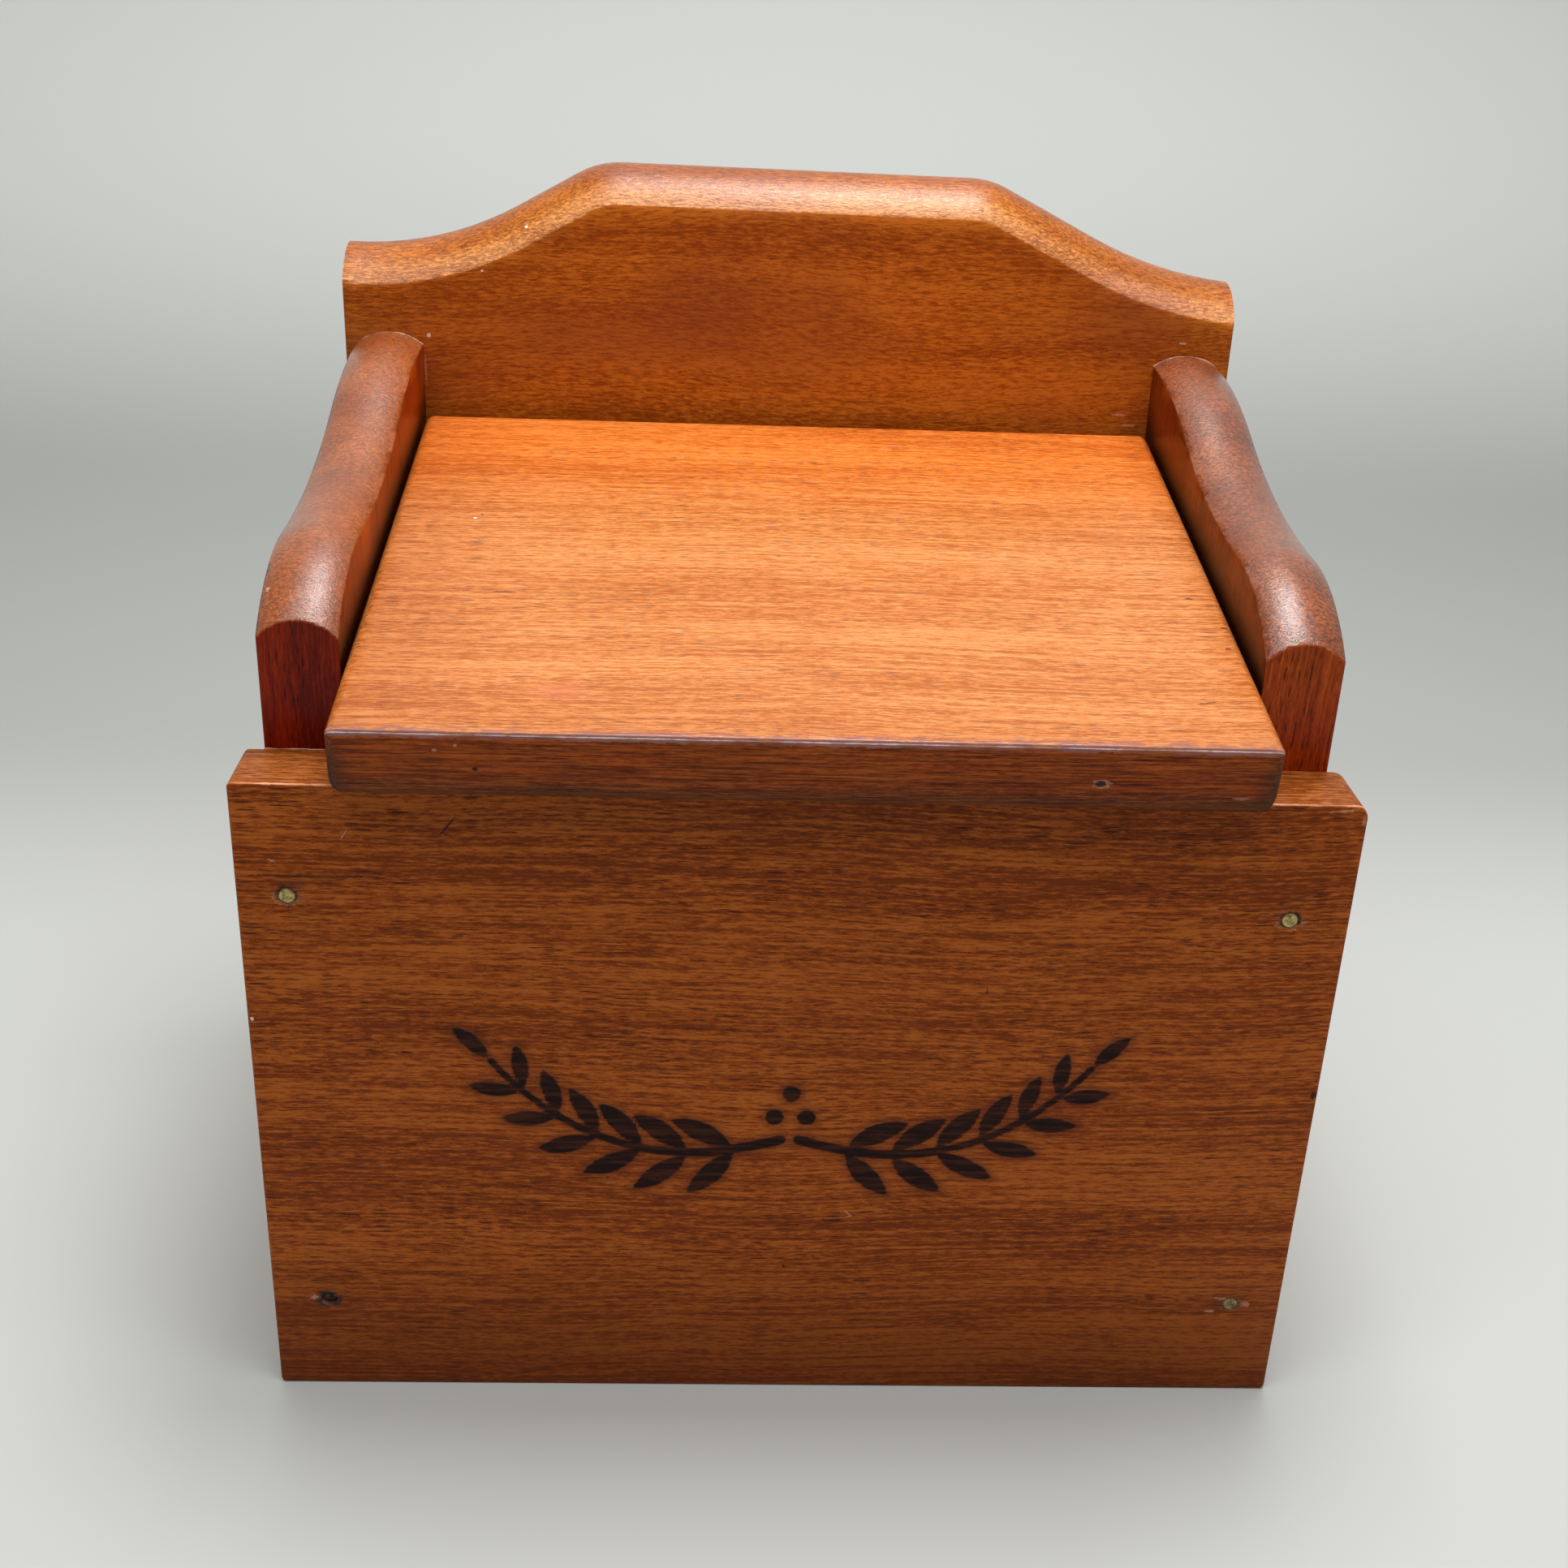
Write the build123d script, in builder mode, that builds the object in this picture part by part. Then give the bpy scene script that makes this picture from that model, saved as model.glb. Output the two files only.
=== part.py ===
"""A wooden recipe card box: four nailed walls, a bottom board and a sloping lid that turns on two pins.

Frame: +X to the right, +Y to the back, +Z up. The origin is the middle of the footprint, on the
table. All sizes are in millimetres.
"""

from math import cos, radians, sin, sqrt
import os

from build123d import *

# ---------------------------------------------------------------- boards
board = 12.0  # thickness of every board
arris = 0.5  # easing of the long edges
small_arris = 0.3  # easing of the edges that stayed sharp

# ---------------------------------------------------------------- card compartment
card_width = 127.0  # an index card, on its long edge
card_play = 9.0  # room beside the cards, both sides together
inner_width = card_width + card_play
inner_depth = 94.5

# ---------------------------------------------------------------- front board
front_height = 110.5
front_reach = 3.0  # how far the front board stands out past each side board
front_corner_left = 1.0
front_corner_right = 2.4
front_corner_foot = 0.8

# ---------------------------------------------------------------- side boards
# Heights of the crease between a side board's flat face and its rounded top, above the front board.
side_front_rise = 17.5
side_scoop_rise = 26.4
side_bend_rise = 34.5
side_rear_rise = 39.8
side_nose_run = 22.0  # from the front end to the level stretch
side_swell_run = 28.5  # from the rear end to where the curve turns over
side_crown = 2.1  # how far the rounded top rises over its creases

# ---------------------------------------------------------------- back board
back_reach = 2.25  # how far the back board stands out past each side board
# Its outline was sawn by eye, so the two halves of its crease differ a little.
crest_width = 69.0  # the stretch in the middle, between its two corners
crest_rise_left = 65.8
crest_rise_right = 65.1
slope_run_left = 13.5  # width of the straight slope beside each corner
slope_run_right = 19.0
slope_foot_rise_left = 58.3
slope_foot_rise_right = 55.8
end_rise_left = 50.1
end_rise_right = 47.8
crest_corner = 10.0  # radius at each end of the crest
back_crown = 6.2  # how far the rounded top rises over the front crease
back_crown_setback = 10.0  # from the front face to the highest line of the top
back_rear_arris = 1.5

# ---------------------------------------------------------------- lid
lid_tilt = 8.5  # degrees, down to the front
lid_gap = 0.5  # beside the lid, on each side
lid_seat_gap = 0.2  # over the front board's upper edge, when shut
lid_overhang = 4.5  # along the slope, past the front board's face
lid_nose_radius = 4.0  # under the front edge
lid_nose_bulge = 0.5  # how much the front edge swells
lid_end_radius = 1.8  # under the two ends
lid_rear_arris = 1.5
swing_gap = 0.5  # left to the back board when the rear edge swings past it

# ---------------------------------------------------------------- pivot pins
pin_radius = 1.5
pin_head_radius = 2.4
pin_head_height = 1.2
pin_length = 30.0
pin_point = 1.5
pin_to_rear_edge = 6.5
pin_clearance = 0.06  # radial, in the lid's bore
pin_end_gap = 1.0

# ---------------------------------------------------------------- nails
nail_radius = 0.9
nail_head_radius = 1.35
nail_head_height = 1.0
nail_length = 32.0
nail_point = 2.5
nail_point_cut = 0.77  # how far each flank of the point cuts in
nail_flats = 12  # round wire, drawn with this many flats to stay light
front_nail_inset = 18.0  # from the front board's top and bottom edges
punch_depth = 0.8  # of the one front nail that was driven in too far
back_nail_low = 18.0
back_nail_drop = 23.0  # from the pivot pins down to the upper back nails
bottom_nail_inset = 20.0  # from the front and rear ends of the bottom board

# ---------------------------------------------------------------- worked out from the above
front_width = inner_width + 2 * board + 2 * front_reach
back_width = inner_width + 2 * board + 2 * back_reach
rear_face = inner_depth / 2 + board
side_middle = (inner_width + board) / 2
run_out = 2 * side_crown + board / 2  # the rounded tops are made this much too long, then trimmed
lid_top = Vector(0, -sin(radians(lid_tilt)), cos(radians(lid_tilt)))
lid_slope = Vector(0, cos(radians(lid_tilt)), sin(radians(lid_tilt)))
# The rear upper arris of the lid swings on this radius about the pins.
rear_swing = sqrt((pin_to_rear_edge - lid_rear_arris) ** 2 + (board / 2 - lid_rear_arris) ** 2)
pin_y = inner_depth / 2 - (rear_swing + lid_rear_arris + swing_gap)
pin_run = (pin_y + rear_face + board / 2 * sin(radians(lid_tilt))) / cos(radians(lid_tilt))
lid_seat = Vector(0, -rear_face, front_height + lid_seat_gap)
lid_hinge = lid_seat + lid_slope * pin_run + lid_top * (board / 2)
lid_width = inner_width - 2 * lid_gap

os.makedirs("parts", exist_ok=True)


def save(piece, name):
    """Label a finished piece and write it as its own file."""
    piece.part.label = name
    export_step(piece.part, f"parts/{name}.step")


def round_corner(outline, point, radius):
    """Round the corner of a drawn outline that lies at this point of its own plane."""
    fillet(outline.vertices().sort_by_distance(point)[0], radius)


def seat(x, y, z, outward):
    """The plane of a nail's or pin's head at a point of a board's face, facing out of the wood."""
    return Plane(origin=(x, y, z), z_dir=outward)


def nail(plane):
    """A driven nail, from its head in this plane to its point."""
    with BuildPart() as wire:
        with BuildSketch(plane):
            RegularPolygon(nail_head_radius, nail_flats)
        extrude(amount=-nail_head_height)
        with BuildSketch(plane.offset(-nail_head_height)):
            RegularPolygon(nail_radius, nail_flats)
        extrude(amount=nail_head_height - nail_length)
        end = wire.faces().sort_by(Axis(plane.origin, plane.z_dir))[0]
        chamfer(end.edges(), length=nail_point_cut, length2=nail_point, reference=end)
    return wire


def nail_hole(name, plane):
    """The hole that a driven nail fills, open above the head where the head was punched in."""
    add(nails[name].part, mode=Mode.SUBTRACT)
    with BuildSketch(plane) as mouth:
        RegularPolygon(nail_head_radius, nail_flats)
    extrude(mouth.sketch, amount=punch_depth, mode=Mode.SUBTRACT)


def pivot_pin(plane, mode=Mode.ADD):
    """A pivot pin, or the hole in the side board that grips it."""
    head_taper = pin_head_radius - pin_radius
    with BuildSketch(Plane(plane.origin, x_dir=plane.x_dir, z_dir=plane.y_dir)) as half_section:
        with BuildLine():
            Polyline(
                (0, 0),
                (pin_head_radius, 0),
                (pin_head_radius, pin_head_height - head_taper),
                (pin_radius, pin_head_height),
                (pin_radius, pin_length - pin_point),
                (0, pin_length),
                close=True,
            )
        make_face()
    revolve(half_section.sketch, axis=Axis(plane.origin, plane.z_dir), mode=mode)


# ---------------------------------------------------------------- where the nails go
# The front nails were set by eye, so each stands a little off its nominal place: out, up, depth.
front_nails = {}
for row, level in (("lower", front_nail_inset), ("upper", front_height - front_nail_inset)):
    for hand, side in ((-1, "left"), (1, "right")):
        out, up, punched = {
            "upper_left": (1.6, -0.3, 0.0),
            "upper_right": (-0.1, -1.4, 0.0),
            "lower_left": (0.0, -0.4, punch_depth),
            "lower_right": (0.7, 0.2, 0.0),
        }[f"{row}_{side}"]
        x = hand * (side_middle + out)
        front_nails[f"front_nail_{row}_{side}"] = seat(
            x, punched - rear_face, level + up, (0, -1, 0)
        )

back_nails = {}
for row, level in (("lower", back_nail_low), ("upper", lid_hinge.Z - back_nail_drop)):
    for hand, side in ((-1, "left"), (1, "right")):
        back_nails[f"back_nail_{row}_{side}"] = seat(
            hand * side_middle, rear_face, level, (0, 1, 0)
        )

bottom_nails = {}
for end, place in ((-1, "front"), (1, "rear")):
    for hand, side in ((-1, "left"), (1, "right")):
        bottom_nails[f"bottom_nail_{place}_{side}"] = seat(
            hand * (inner_width / 2 + board),
            end * (inner_depth / 2 - bottom_nail_inset),
            board / 2,
            (hand, 0, 0),
        )

pivot_pins = {}
for hand, side in ((-1, "left"), (1, "right")):
    pivot_pins[f"{side}_pivot_pin"] = seat(
        hand * (inner_width / 2 + board), lid_hinge.Y, lid_hinge.Z, (hand, 0, 0)
    )

# ---------------------------------------------------------------- nails
nails = {}
for places in (front_nails, back_nails, bottom_nails):
    for name, place in places.items():
        nails[name] = nail(place)
        save(nails[name], name)

# ---------------------------------------------------------------- front board
with BuildPart() as front_board:
    with BuildSketch(Plane.XZ.offset(rear_face)) as front_outline:
        Rectangle(front_width, front_height, align=(Align.CENTER, Align.MIN))
        round_corner(front_outline, (-front_width / 2, 0), front_corner_foot)
        round_corner(front_outline, (front_width / 2, 0), front_corner_foot)
        round_corner(front_outline, (-front_width / 2, front_height), front_corner_left)
        round_corner(front_outline, (front_width / 2, front_height), front_corner_right)
    extrude(amount=-board)
    fillet(front_board.faces().sort_by(Axis.Y)[0].edges(), arris)
    fillet(front_board.faces().sort_by(Axis.Y)[-1].edges().sort_by(Axis.Z)[-1], small_arris)
    for name, place in front_nails.items():
        nail_hole(name, place)
save(front_board, "front_board")

# ---------------------------------------------------------------- side boards
for hand, side in ((-1, "left"), (1, "right")):
    middle = Plane.YZ.offset(hand * side_middle)
    with BuildPart() as side_board:
        # The crease of the rounded top, from the rear end down to the front end.
        with BuildLine(middle) as crease:
            rear_end = (inner_depth / 2, front_height + side_rear_rise)
            lead_in = Line((rear_end[0] + run_out, rear_end[1]), rear_end)
            swell = TangentArc(
                lead_in @ 1,
                middle.from_local_coords(
                    (inner_depth / 2 - side_swell_run, front_height + side_bend_rise)
                ),
                tangent=lead_in % 1,
            )
            scoop = TangentArc(
                swell @ 1,
                middle.from_local_coords(
                    (side_nose_run - inner_depth / 2, front_height + side_scoop_rise)
                ),
                tangent=swell % 1,
            )
            nose = TangentArc(
                scoop @ 1,
                middle.from_local_coords((-inner_depth / 2, front_height + side_front_rise)),
                tangent=scoop % 1,
            )
            lead_out = PolarLine(nose @ 1, run_out, direction=nose % 1)
        # The rounded top: a shallow arc across the thickness, carried along the crease.
        section = Plane(origin=lead_in @ 0, x_dir=(1, 0, 0), z_dir=lead_in % 0)
        with BuildSketch(section):
            with BuildLine():
                SagittaArc((-board / 2, 0), (board / 2, 0), side_crown)
                Polyline(
                    (board / 2, 0),
                    (board / 2, -board / 2),
                    (-board / 2, -board / 2),
                    (-board / 2, 0),
                )
            make_face()
        sweep(path=crease.wire())
        # The board itself, up to the crease.
        with BuildSketch(middle):
            with BuildLine():
                add(middle.to_local_coords(crease.wire()).edges())
                front_tip = middle.to_local_coords(lead_out @ 1)
                Polyline(
                    (front_tip.X, front_tip.Y),
                    (front_tip.X, 0),
                    (rear_end[0] + run_out, 0),
                    (rear_end[0] + run_out, rear_end[1]),
                )
            make_face()
        extrude(amount=board / 2, both=True)
        # Both ends are sawn off square and the upright edges in front eased.
        with BuildSketch() as plan:
            with Locations((hand * side_middle, 0)):
                Rectangle(board, inner_depth)
            fillet(plan.vertices().group_by(Axis.Y)[0], small_arris)
        extrude(amount=2 * rear_end[1], mode=Mode.INTERSECT)
        for places in (front_nails, back_nails, bottom_nails):
            for name, place in places.items():
                if name.endswith(side):
                    nail_hole(name, place)
        pivot_pin(pivot_pins[f"{side}_pivot_pin"], Mode.SUBTRACT)
    save(side_board, f"{side}_side")

# ---------------------------------------------------------------- back board
front_of_back = Plane.XZ.offset(-inner_depth / 2)
crest_left = (-crest_width / 2, front_height + crest_rise_left)
crest_right = (crest_width / 2, front_height + crest_rise_right)
foot_left = (crest_left[0] - slope_run_left, front_height + slope_foot_rise_left)
foot_right = (crest_right[0] + slope_run_right, front_height + slope_foot_rise_right)
end_left = (-back_width / 2, front_height + end_rise_left)
end_right = (back_width / 2, front_height + end_rise_right)
with BuildPart() as back_board:
    # The crease of the rounded top, from the middle of the crest out to both ends.
    with BuildLine(front_of_back) as crease:
        crest = Line(crest_left, crest_right)
        leads = []
        for corner, foot, end in (
            (crest_left, foot_left, end_left),
            (crest_right, foot_right, end_right),
        ):
            slope = Line(corner, foot)
            shoulder = TangentArc(
                slope @ 1, front_of_back.from_local_coords(end), tangent=slope % 1
            )
            leads.append(PolarLine(shoulder @ 1, run_out, direction=shoulder % 1))
        round_corner(crease, crest @ 0, crest_corner)
        round_corner(crease, crest @ 1, crest_corner)
    # The rounded top: an arc that climbs from the front crease and levels out near the rear face.
    left_tip, right_tip = leads[0] @ 1, leads[1] @ 1
    start = Plane(origin=left_tip, x_dir=(0, 1, 0), z_dir=(leads[0] % 1) * -1)
    crown_radius = (back_crown_setback**2 + back_crown**2) / (2 * back_crown)
    rear_drop = crown_radius - sqrt(crown_radius**2 - (board - back_crown_setback) ** 2)
    with BuildSketch(start) as crown_section:
        with BuildLine():
            ThreePointArc((0, 0), (back_crown_setback, back_crown), (board, back_crown - rear_drop))
            Polyline((board, back_crown - rear_drop), (board, -board / 2), (0, -board / 2), (0, 0))
        make_face()
        round_corner(crown_section, (board, back_crown - rear_drop), back_rear_arris)
    sweep(path=crease.wire())
    with BuildSketch(front_of_back):
        with BuildLine():
            add(front_of_back.to_local_coords(crease.wire()).edges())
            Polyline(
                (right_tip.X, right_tip.Z),
                (right_tip.X, 0),
                (left_tip.X, 0),
                (left_tip.X, left_tip.Z),
            )
        make_face()
    extrude(amount=-board)
    # Both ends are sawn off square and their upright edges eased.
    with BuildSketch() as plan:
        with Locations((0, (inner_depth + board) / 2)):
            Rectangle(back_width, board)
        fillet(plan.vertices(), arris)
    extrude(amount=2 * crest_left[1], mode=Mode.INTERSECT)
    for name, place in back_nails.items():
        nail_hole(name, place)
save(back_board, "back_board")

# ---------------------------------------------------------------- bottom board
with BuildPart() as bottom_board:
    with BuildSketch():
        Rectangle(inner_width, inner_depth)
    extrude(amount=board)
    for name, place in bottom_nails.items():
        nail_hole(name, place)
save(bottom_board, "bottom_board")

# ---------------------------------------------------------------- lid
# Its profile seats on the front board's upper front edge and slopes up to the back.
lid_profile = Plane(origin=lid_seat, x_dir=lid_slope, z_dir=(1, 0, 0))
lid_rear = pin_run + pin_to_rear_edge
with BuildPart() as lid:
    with BuildSketch(lid_profile) as profile:
        with BuildLine():
            SagittaArc((-lid_overhang, board), (-lid_overhang, 0), -lid_nose_bulge)
            Polyline(
                (-lid_overhang, 0),
                (lid_rear, 0),
                (lid_rear, board),
                (-lid_overhang, board),
            )
        make_face()
        round_corner(profile, (-lid_overhang, 0), lid_nose_radius)
        round_corner(profile, (-lid_overhang, board), small_arris)
        round_corner(profile, (lid_rear, board), lid_rear_arris)
        round_corner(profile, (lid_rear, 0), small_arris)
    extrude(amount=lid_width / 2, both=True)
    underside = lid.faces().filter_by(Axis((0, 0, 0), lid_top)).sort_by(Axis.Z)[0]
    fillet(underside.edges().filter_by(Axis((0, 0, 0), lid_slope)), lid_end_radius)
    # The bores turn on the pins, a little wider and deeper than them.
    for hand in (-1, 1):
        bore_mouth = Plane(
            origin=(hand * lid_width / 2, lid_hinge.Y, lid_hinge.Z), z_dir=(-hand, 0, 0)
        )
        with BuildSketch(bore_mouth):
            Circle(pin_radius + pin_clearance)
        extrude(amount=pin_length - board - lid_gap + pin_end_gap, mode=Mode.SUBTRACT)
save(lid, "lid")

# ---------------------------------------------------------------- pivot pins
for name, place in pivot_pins.items():
    with BuildPart() as pin:
        pivot_pin(place)
    save(pin, name)
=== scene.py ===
# %% [markdown]
# # A wooden recipe card box
# The box is five boards, nailed together, and a sloping lid that turns on two hidden pins. Its
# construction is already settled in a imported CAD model, so this script only dresses it: it makes
# the boards' surfaces finer, nails them, burns a sprig into the front and stains the wood.
#
# Everything stands in one frame, in metres: +X to the right, +Y to the back, +Z up.

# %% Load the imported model
import math

import bmesh
import bpy
import numpy as np
from mathutils import Matrix, Vector
from mathutils.kdtree import KDTree


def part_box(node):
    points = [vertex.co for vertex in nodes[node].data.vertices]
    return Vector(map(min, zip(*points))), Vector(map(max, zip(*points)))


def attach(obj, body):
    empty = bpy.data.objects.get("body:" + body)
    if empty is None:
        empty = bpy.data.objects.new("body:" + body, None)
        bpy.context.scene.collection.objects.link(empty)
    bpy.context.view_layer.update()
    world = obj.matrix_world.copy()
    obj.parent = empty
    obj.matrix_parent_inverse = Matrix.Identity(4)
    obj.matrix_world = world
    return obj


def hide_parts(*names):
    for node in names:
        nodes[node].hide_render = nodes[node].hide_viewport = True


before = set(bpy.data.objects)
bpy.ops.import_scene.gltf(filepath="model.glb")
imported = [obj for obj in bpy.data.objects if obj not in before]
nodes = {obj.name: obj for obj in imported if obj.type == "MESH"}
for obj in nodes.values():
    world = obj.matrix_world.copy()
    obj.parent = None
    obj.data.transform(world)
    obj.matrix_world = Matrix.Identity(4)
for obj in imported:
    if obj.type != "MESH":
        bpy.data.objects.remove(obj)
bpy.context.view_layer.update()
MM = 0.001  # the boards are worked in millimetres

# %% [markdown]
# ## The camera
# A camera close to a small box shows it with strong perspective. This one stands 31 cm in front
# of the box's middle and 23 cm above the table, and leans down 25 degrees. Blender wants its lens
# in millimetres on a 36 mm sensor, so a focal length in picture points is turned into that.

# %% Set up the camera
PICTURE_SIDE = 1932  # points
FOCAL_POINTS = 2369.7
EYE = Vector((-15.12, -310.34, 229.20)) * MM
TURN, LEAN, ROLL = 0.04759, 0.43606, -0.04102  # radians

ahead = Vector((math.sin(TURN) * math.cos(LEAN), math.cos(TURN) * math.cos(LEAN), -math.sin(LEAN)))
level = Vector((math.cos(TURN), -math.sin(TURN), 0))
downward = ahead.cross(level)
picture_right = level * math.cos(ROLL) + downward * math.sin(ROLL)
picture_up = level * math.sin(ROLL) - downward * math.cos(ROLL)

camera_data = bpy.data.cameras.new("camera")
camera_data.sensor_width = 36.0
camera_data.lens = FOCAL_POINTS / PICTURE_SIDE * camera_data.sensor_width
camera_data.clip_start = 0.01
camera = bpy.data.objects.new("camera", camera_data)
axes = Matrix((picture_right, picture_up, -ahead)).transposed().to_4x4()
camera.matrix_world = Matrix.Translation(EYE) @ axes
bpy.context.scene.collection.objects.link(camera)
bpy.context.scene.camera = camera
print(f"lens {camera_data.lens:.1f} mm")

# %% [markdown]
# ## Small helpers for node trees
# Materials and Geometry Nodes are both trees of nodes. Written out in full, every node takes
# several lines. A `Wire` is the output of a node, and arithmetic on wires adds Math nodes, so
# that a formula in a tree reads like a formula.

# %% Helpers for node trees
NO_TURN = (0.0, 0.0, 0.0)


class Wire:
    """The output of a node; arithmetic on it adds Math nodes to the same tree."""

    def __init__(self, socket):
        self.socket, self.tree = socket, socket.id_data

    def math(self, operation, *values):
        return wire(self.tree, "ShaderNodeMath", dict(enumerate(values)), operation=operation)

    def __add__(self, other):
        return self.math("ADD", self, other)

    __radd__ = __add__

    def __sub__(self, other):
        return self.math("SUBTRACT", self, other)

    def __rsub__(self, other):
        return self.math("SUBTRACT", other, self)

    def __mul__(self, other):
        return self.math("MULTIPLY", self, other)

    def __truediv__(self, other):
        return self.math("DIVIDE", self, other)

    def __pow__(self, power):
        return self.math("POWER", self, power)

    def __abs__(self):
        return self.math("ABSOLUTE", self)

    def at_least(self, other):
        return self.math("MAXIMUM", self, other)

    def ramp(self, start, end, low=0.0, high=1.0):
        """A Map Range node with soft ends: low at start, high at end."""
        values = {"Value": self, 1: start, 2: end, 3: low, 4: high}
        return wire(self.tree, "ShaderNodeMapRange", values, interpolation_type="SMOOTHSTEP")


def fill(node, values):
    """Fill sockets of a node; a value is a plain value or a wire."""
    for socket, value in values.items():
        if isinstance(value, Wire):
            value.tree.links.new(value.socket, node.inputs[socket])
        else:
            node.inputs[socket].default_value = value


def add_node(tree, kind, values=None, **settings):
    """Add a node with these settings, and fill its sockets."""
    node = tree.nodes.new(kind)
    for name, setting in settings.items():
        setattr(node, name, setting)
    fill(node, values or {})
    return node


def wire(tree, kind, values=None, output=0, **settings):
    """Add a node, and return one of its outputs."""
    return Wire(add_node(tree, kind, values, **settings).outputs[output])


def vector_math(operation, first, second, output=0):
    """A Vector Math node; the second value of SCALE is a number."""
    place = "Scale" if operation == "SCALE" else 1
    tree = next(value.tree for value in (first, second) if isinstance(value, Wire))
    return wire(tree, "ShaderNodeVectorMath", {0: first, place: second}, output, operation=operation)


def split(vector):
    """The three parts of a vector."""
    node = add_node(vector.tree, "ShaderNodeSeparateXYZ", {"Vector": vector})
    return [Wire(socket) for socket in node.outputs]


def mix(share, first, second, how="MIX"):
    """A Mix node for colours; a plain colour is three numbers."""
    tree = next(value.tree for value in (share, first, second) if isinstance(value, Wire))
    first, second = (c if isinstance(c, Wire) else (*c, 1) for c in (first, second))
    values = {"Factor": share, 6: first, 7: second}
    return wire(tree, "ShaderNodeMix", values, 2, data_type="RGBA", blend_type=how)


def tinted(colour, tint):
    """A colour, multiplied by another."""
    return mix(1.0, colour, tint, "MULTIPLY")


def noise(place, scale, detail=2.0, roughness=0.5):
    """The value of a Noise Texture; scale may differ along the three axes."""
    stretched = vector_math("MULTIPLY", place, scale)
    values = {"Vector": stretched, "Scale": 1.0, "Detail": detail, "Roughness": roughness}
    return wire(place.tree, "ShaderNodeTexNoise", values, "Fac")


def object_place(tree):
    """A place on the object, in metres."""
    return wire(tree, "ShaderNodeTexCoord", output="Object")


def place_in_mm(tree, turn=NO_TURN):
    """A place on the object, in millimetres and turned."""
    values = {"Vector": object_place(tree), "Rotation": turn, "Scale": (1000.0,) * 3}
    return wire(tree, "ShaderNodeMapping", values)


def attribute_of(tree, name):
    """The value of a mesh attribute."""
    return wire(tree, "ShaderNodeAttribute", output="Fac", attribute_name=name)


def new_material(name):
    """A new material, its tree and its shader."""
    material = bpy.data.materials.new(name)
    material.use_nodes = True
    return material, material.node_tree, material.node_tree.nodes["Principled BSDF"]


def new_group(name, inputs, outputs, kind="ShaderNodeTree"):
    """A node group: its tree, its inputs as wires, and a function that fills its outputs."""
    tree = bpy.data.node_groups.new(name, kind)
    for socket, (socket_type, default) in inputs.items():
        made = tree.interface.new_socket(name=socket, in_out="INPUT", socket_type=socket_type)
        if default is not None:
            made.default_value = default
    for socket, socket_type in outputs.items():
        tree.interface.new_socket(name=socket, in_out="OUTPUT", socket_type=socket_type)
    way_in, way_out = tree.nodes.new("NodeGroupInput"), tree.nodes.new("NodeGroupOutput")
    given = {socket: Wire(way_in.outputs[socket]) for socket in inputs}
    return tree, given, lambda **wires: fill(way_out, wires)


def grow(tree, name, sizes, start=None):
    """Run a Geometry Nodes tree once, and return what it makes as a plain mesh."""
    holder = bpy.data.objects.new(name, start or bpy.data.meshes.new(name))
    bpy.context.scene.collection.objects.link(holder)
    maker = holder.modifiers.new("maker", "NODES")
    maker.node_group = tree
    for item in tree.interface.items_tree:
        if item.in_out == "INPUT" and item.name in sizes:
            maker[item.identifier] = sizes[item.name]
    view = bpy.context.evaluated_depsgraph_get()
    grown = bpy.data.meshes.new_from_object(
        holder.evaluated_get(view), preserve_all_data_layers=True, depsgraph=view
    )
    bpy.data.objects.remove(holder)
    return grown


def dressed(geometry, finish):
    """Make instances real, and give them their material."""
    real = wire(geometry.tree, "GeometryNodeRealizeInstances", {"Geometry": geometry})
    values = {"Geometry": real, "Material": finish}
    return wire(geometry.tree, "GeometryNodeSetMaterial", values)


def place_piece(name, mesh, body, stands_for=()):
    """Put a finished mesh on its body, in the place of its CAD nodes."""
    piece = bpy.data.objects.new(name, mesh)
    bpy.context.scene.collection.objects.link(piece)
    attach(piece, body)
    if stands_for:
        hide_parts(*stands_for)


FLOAT, VECTOR, COUNT = "NodeSocketFloat", "NodeSocketVector", "NodeSocketInt"
GEOMETRY, MATERIAL, OBJECT = "NodeSocketGeometry", "NodeSocketMaterial", "NodeSocketObject"

# %% [markdown]
# ## The grain, as one group for every board
# The wood is a plain mahogany kind: long soft bands of lighter and darker brown, fine fibres,
# and open pores that take up the stain and show as short dark dashes. A pore is a tube, so on
# the end of a board it is a dot. One solid pattern gives both: noise that is stretched along the
# grain. A board only has to say which way its grain runs.

# %% The grain group
grain_group, given, give = new_group(
    "grain",
    {"Place": (VECTOR, None), "Seed": (FLOAT, 0.0)},
    {"Band": FLOAT, "Streak": FLOAT, "Fibre": FLOAT, "Pores": FLOAT},
)
SEED_STEP = (37.0, 91.0, 53.0)  # how far each seed moves the pattern, in millimetres
moved = vector_math("ADD", given["Place"], vector_math("SCALE", SEED_STEP, given["Seed"]))
# The bands waver a little: the pattern is pushed sideways by a slow noise.
values = {"Vector": moved, "Scale": 0.014, "Detail": 1.0}
waver = wire(grain_group, "ShaderNodeTexNoise", values, "Color")
place = vector_math("ADD", moved, vector_math("MULTIPLY", waver, (0.0, 6.0, 6.0)))


def pore_layer(length, width, kept, size):
    """Dark dashes: stretched cells, of which only a share is kept."""
    stretched = vector_math("MULTIPLY", place, (1 / length, 1 / width, 1 / width))
    cells = add_node(grain_group, "ShaderNodeTexVoronoi", {"Vector": stretched, "Scale": 1.0})
    chance = wire(grain_group, "ShaderNodeSeparateColor", {0: Wire(cells.outputs["Color"])})
    reach = chance.ramp(1.0 - kept, 1.0, 0.0, size)
    return (reach - Wire(cells.outputs["Distance"])).ramp(0.0, 0.3 * size)


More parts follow.
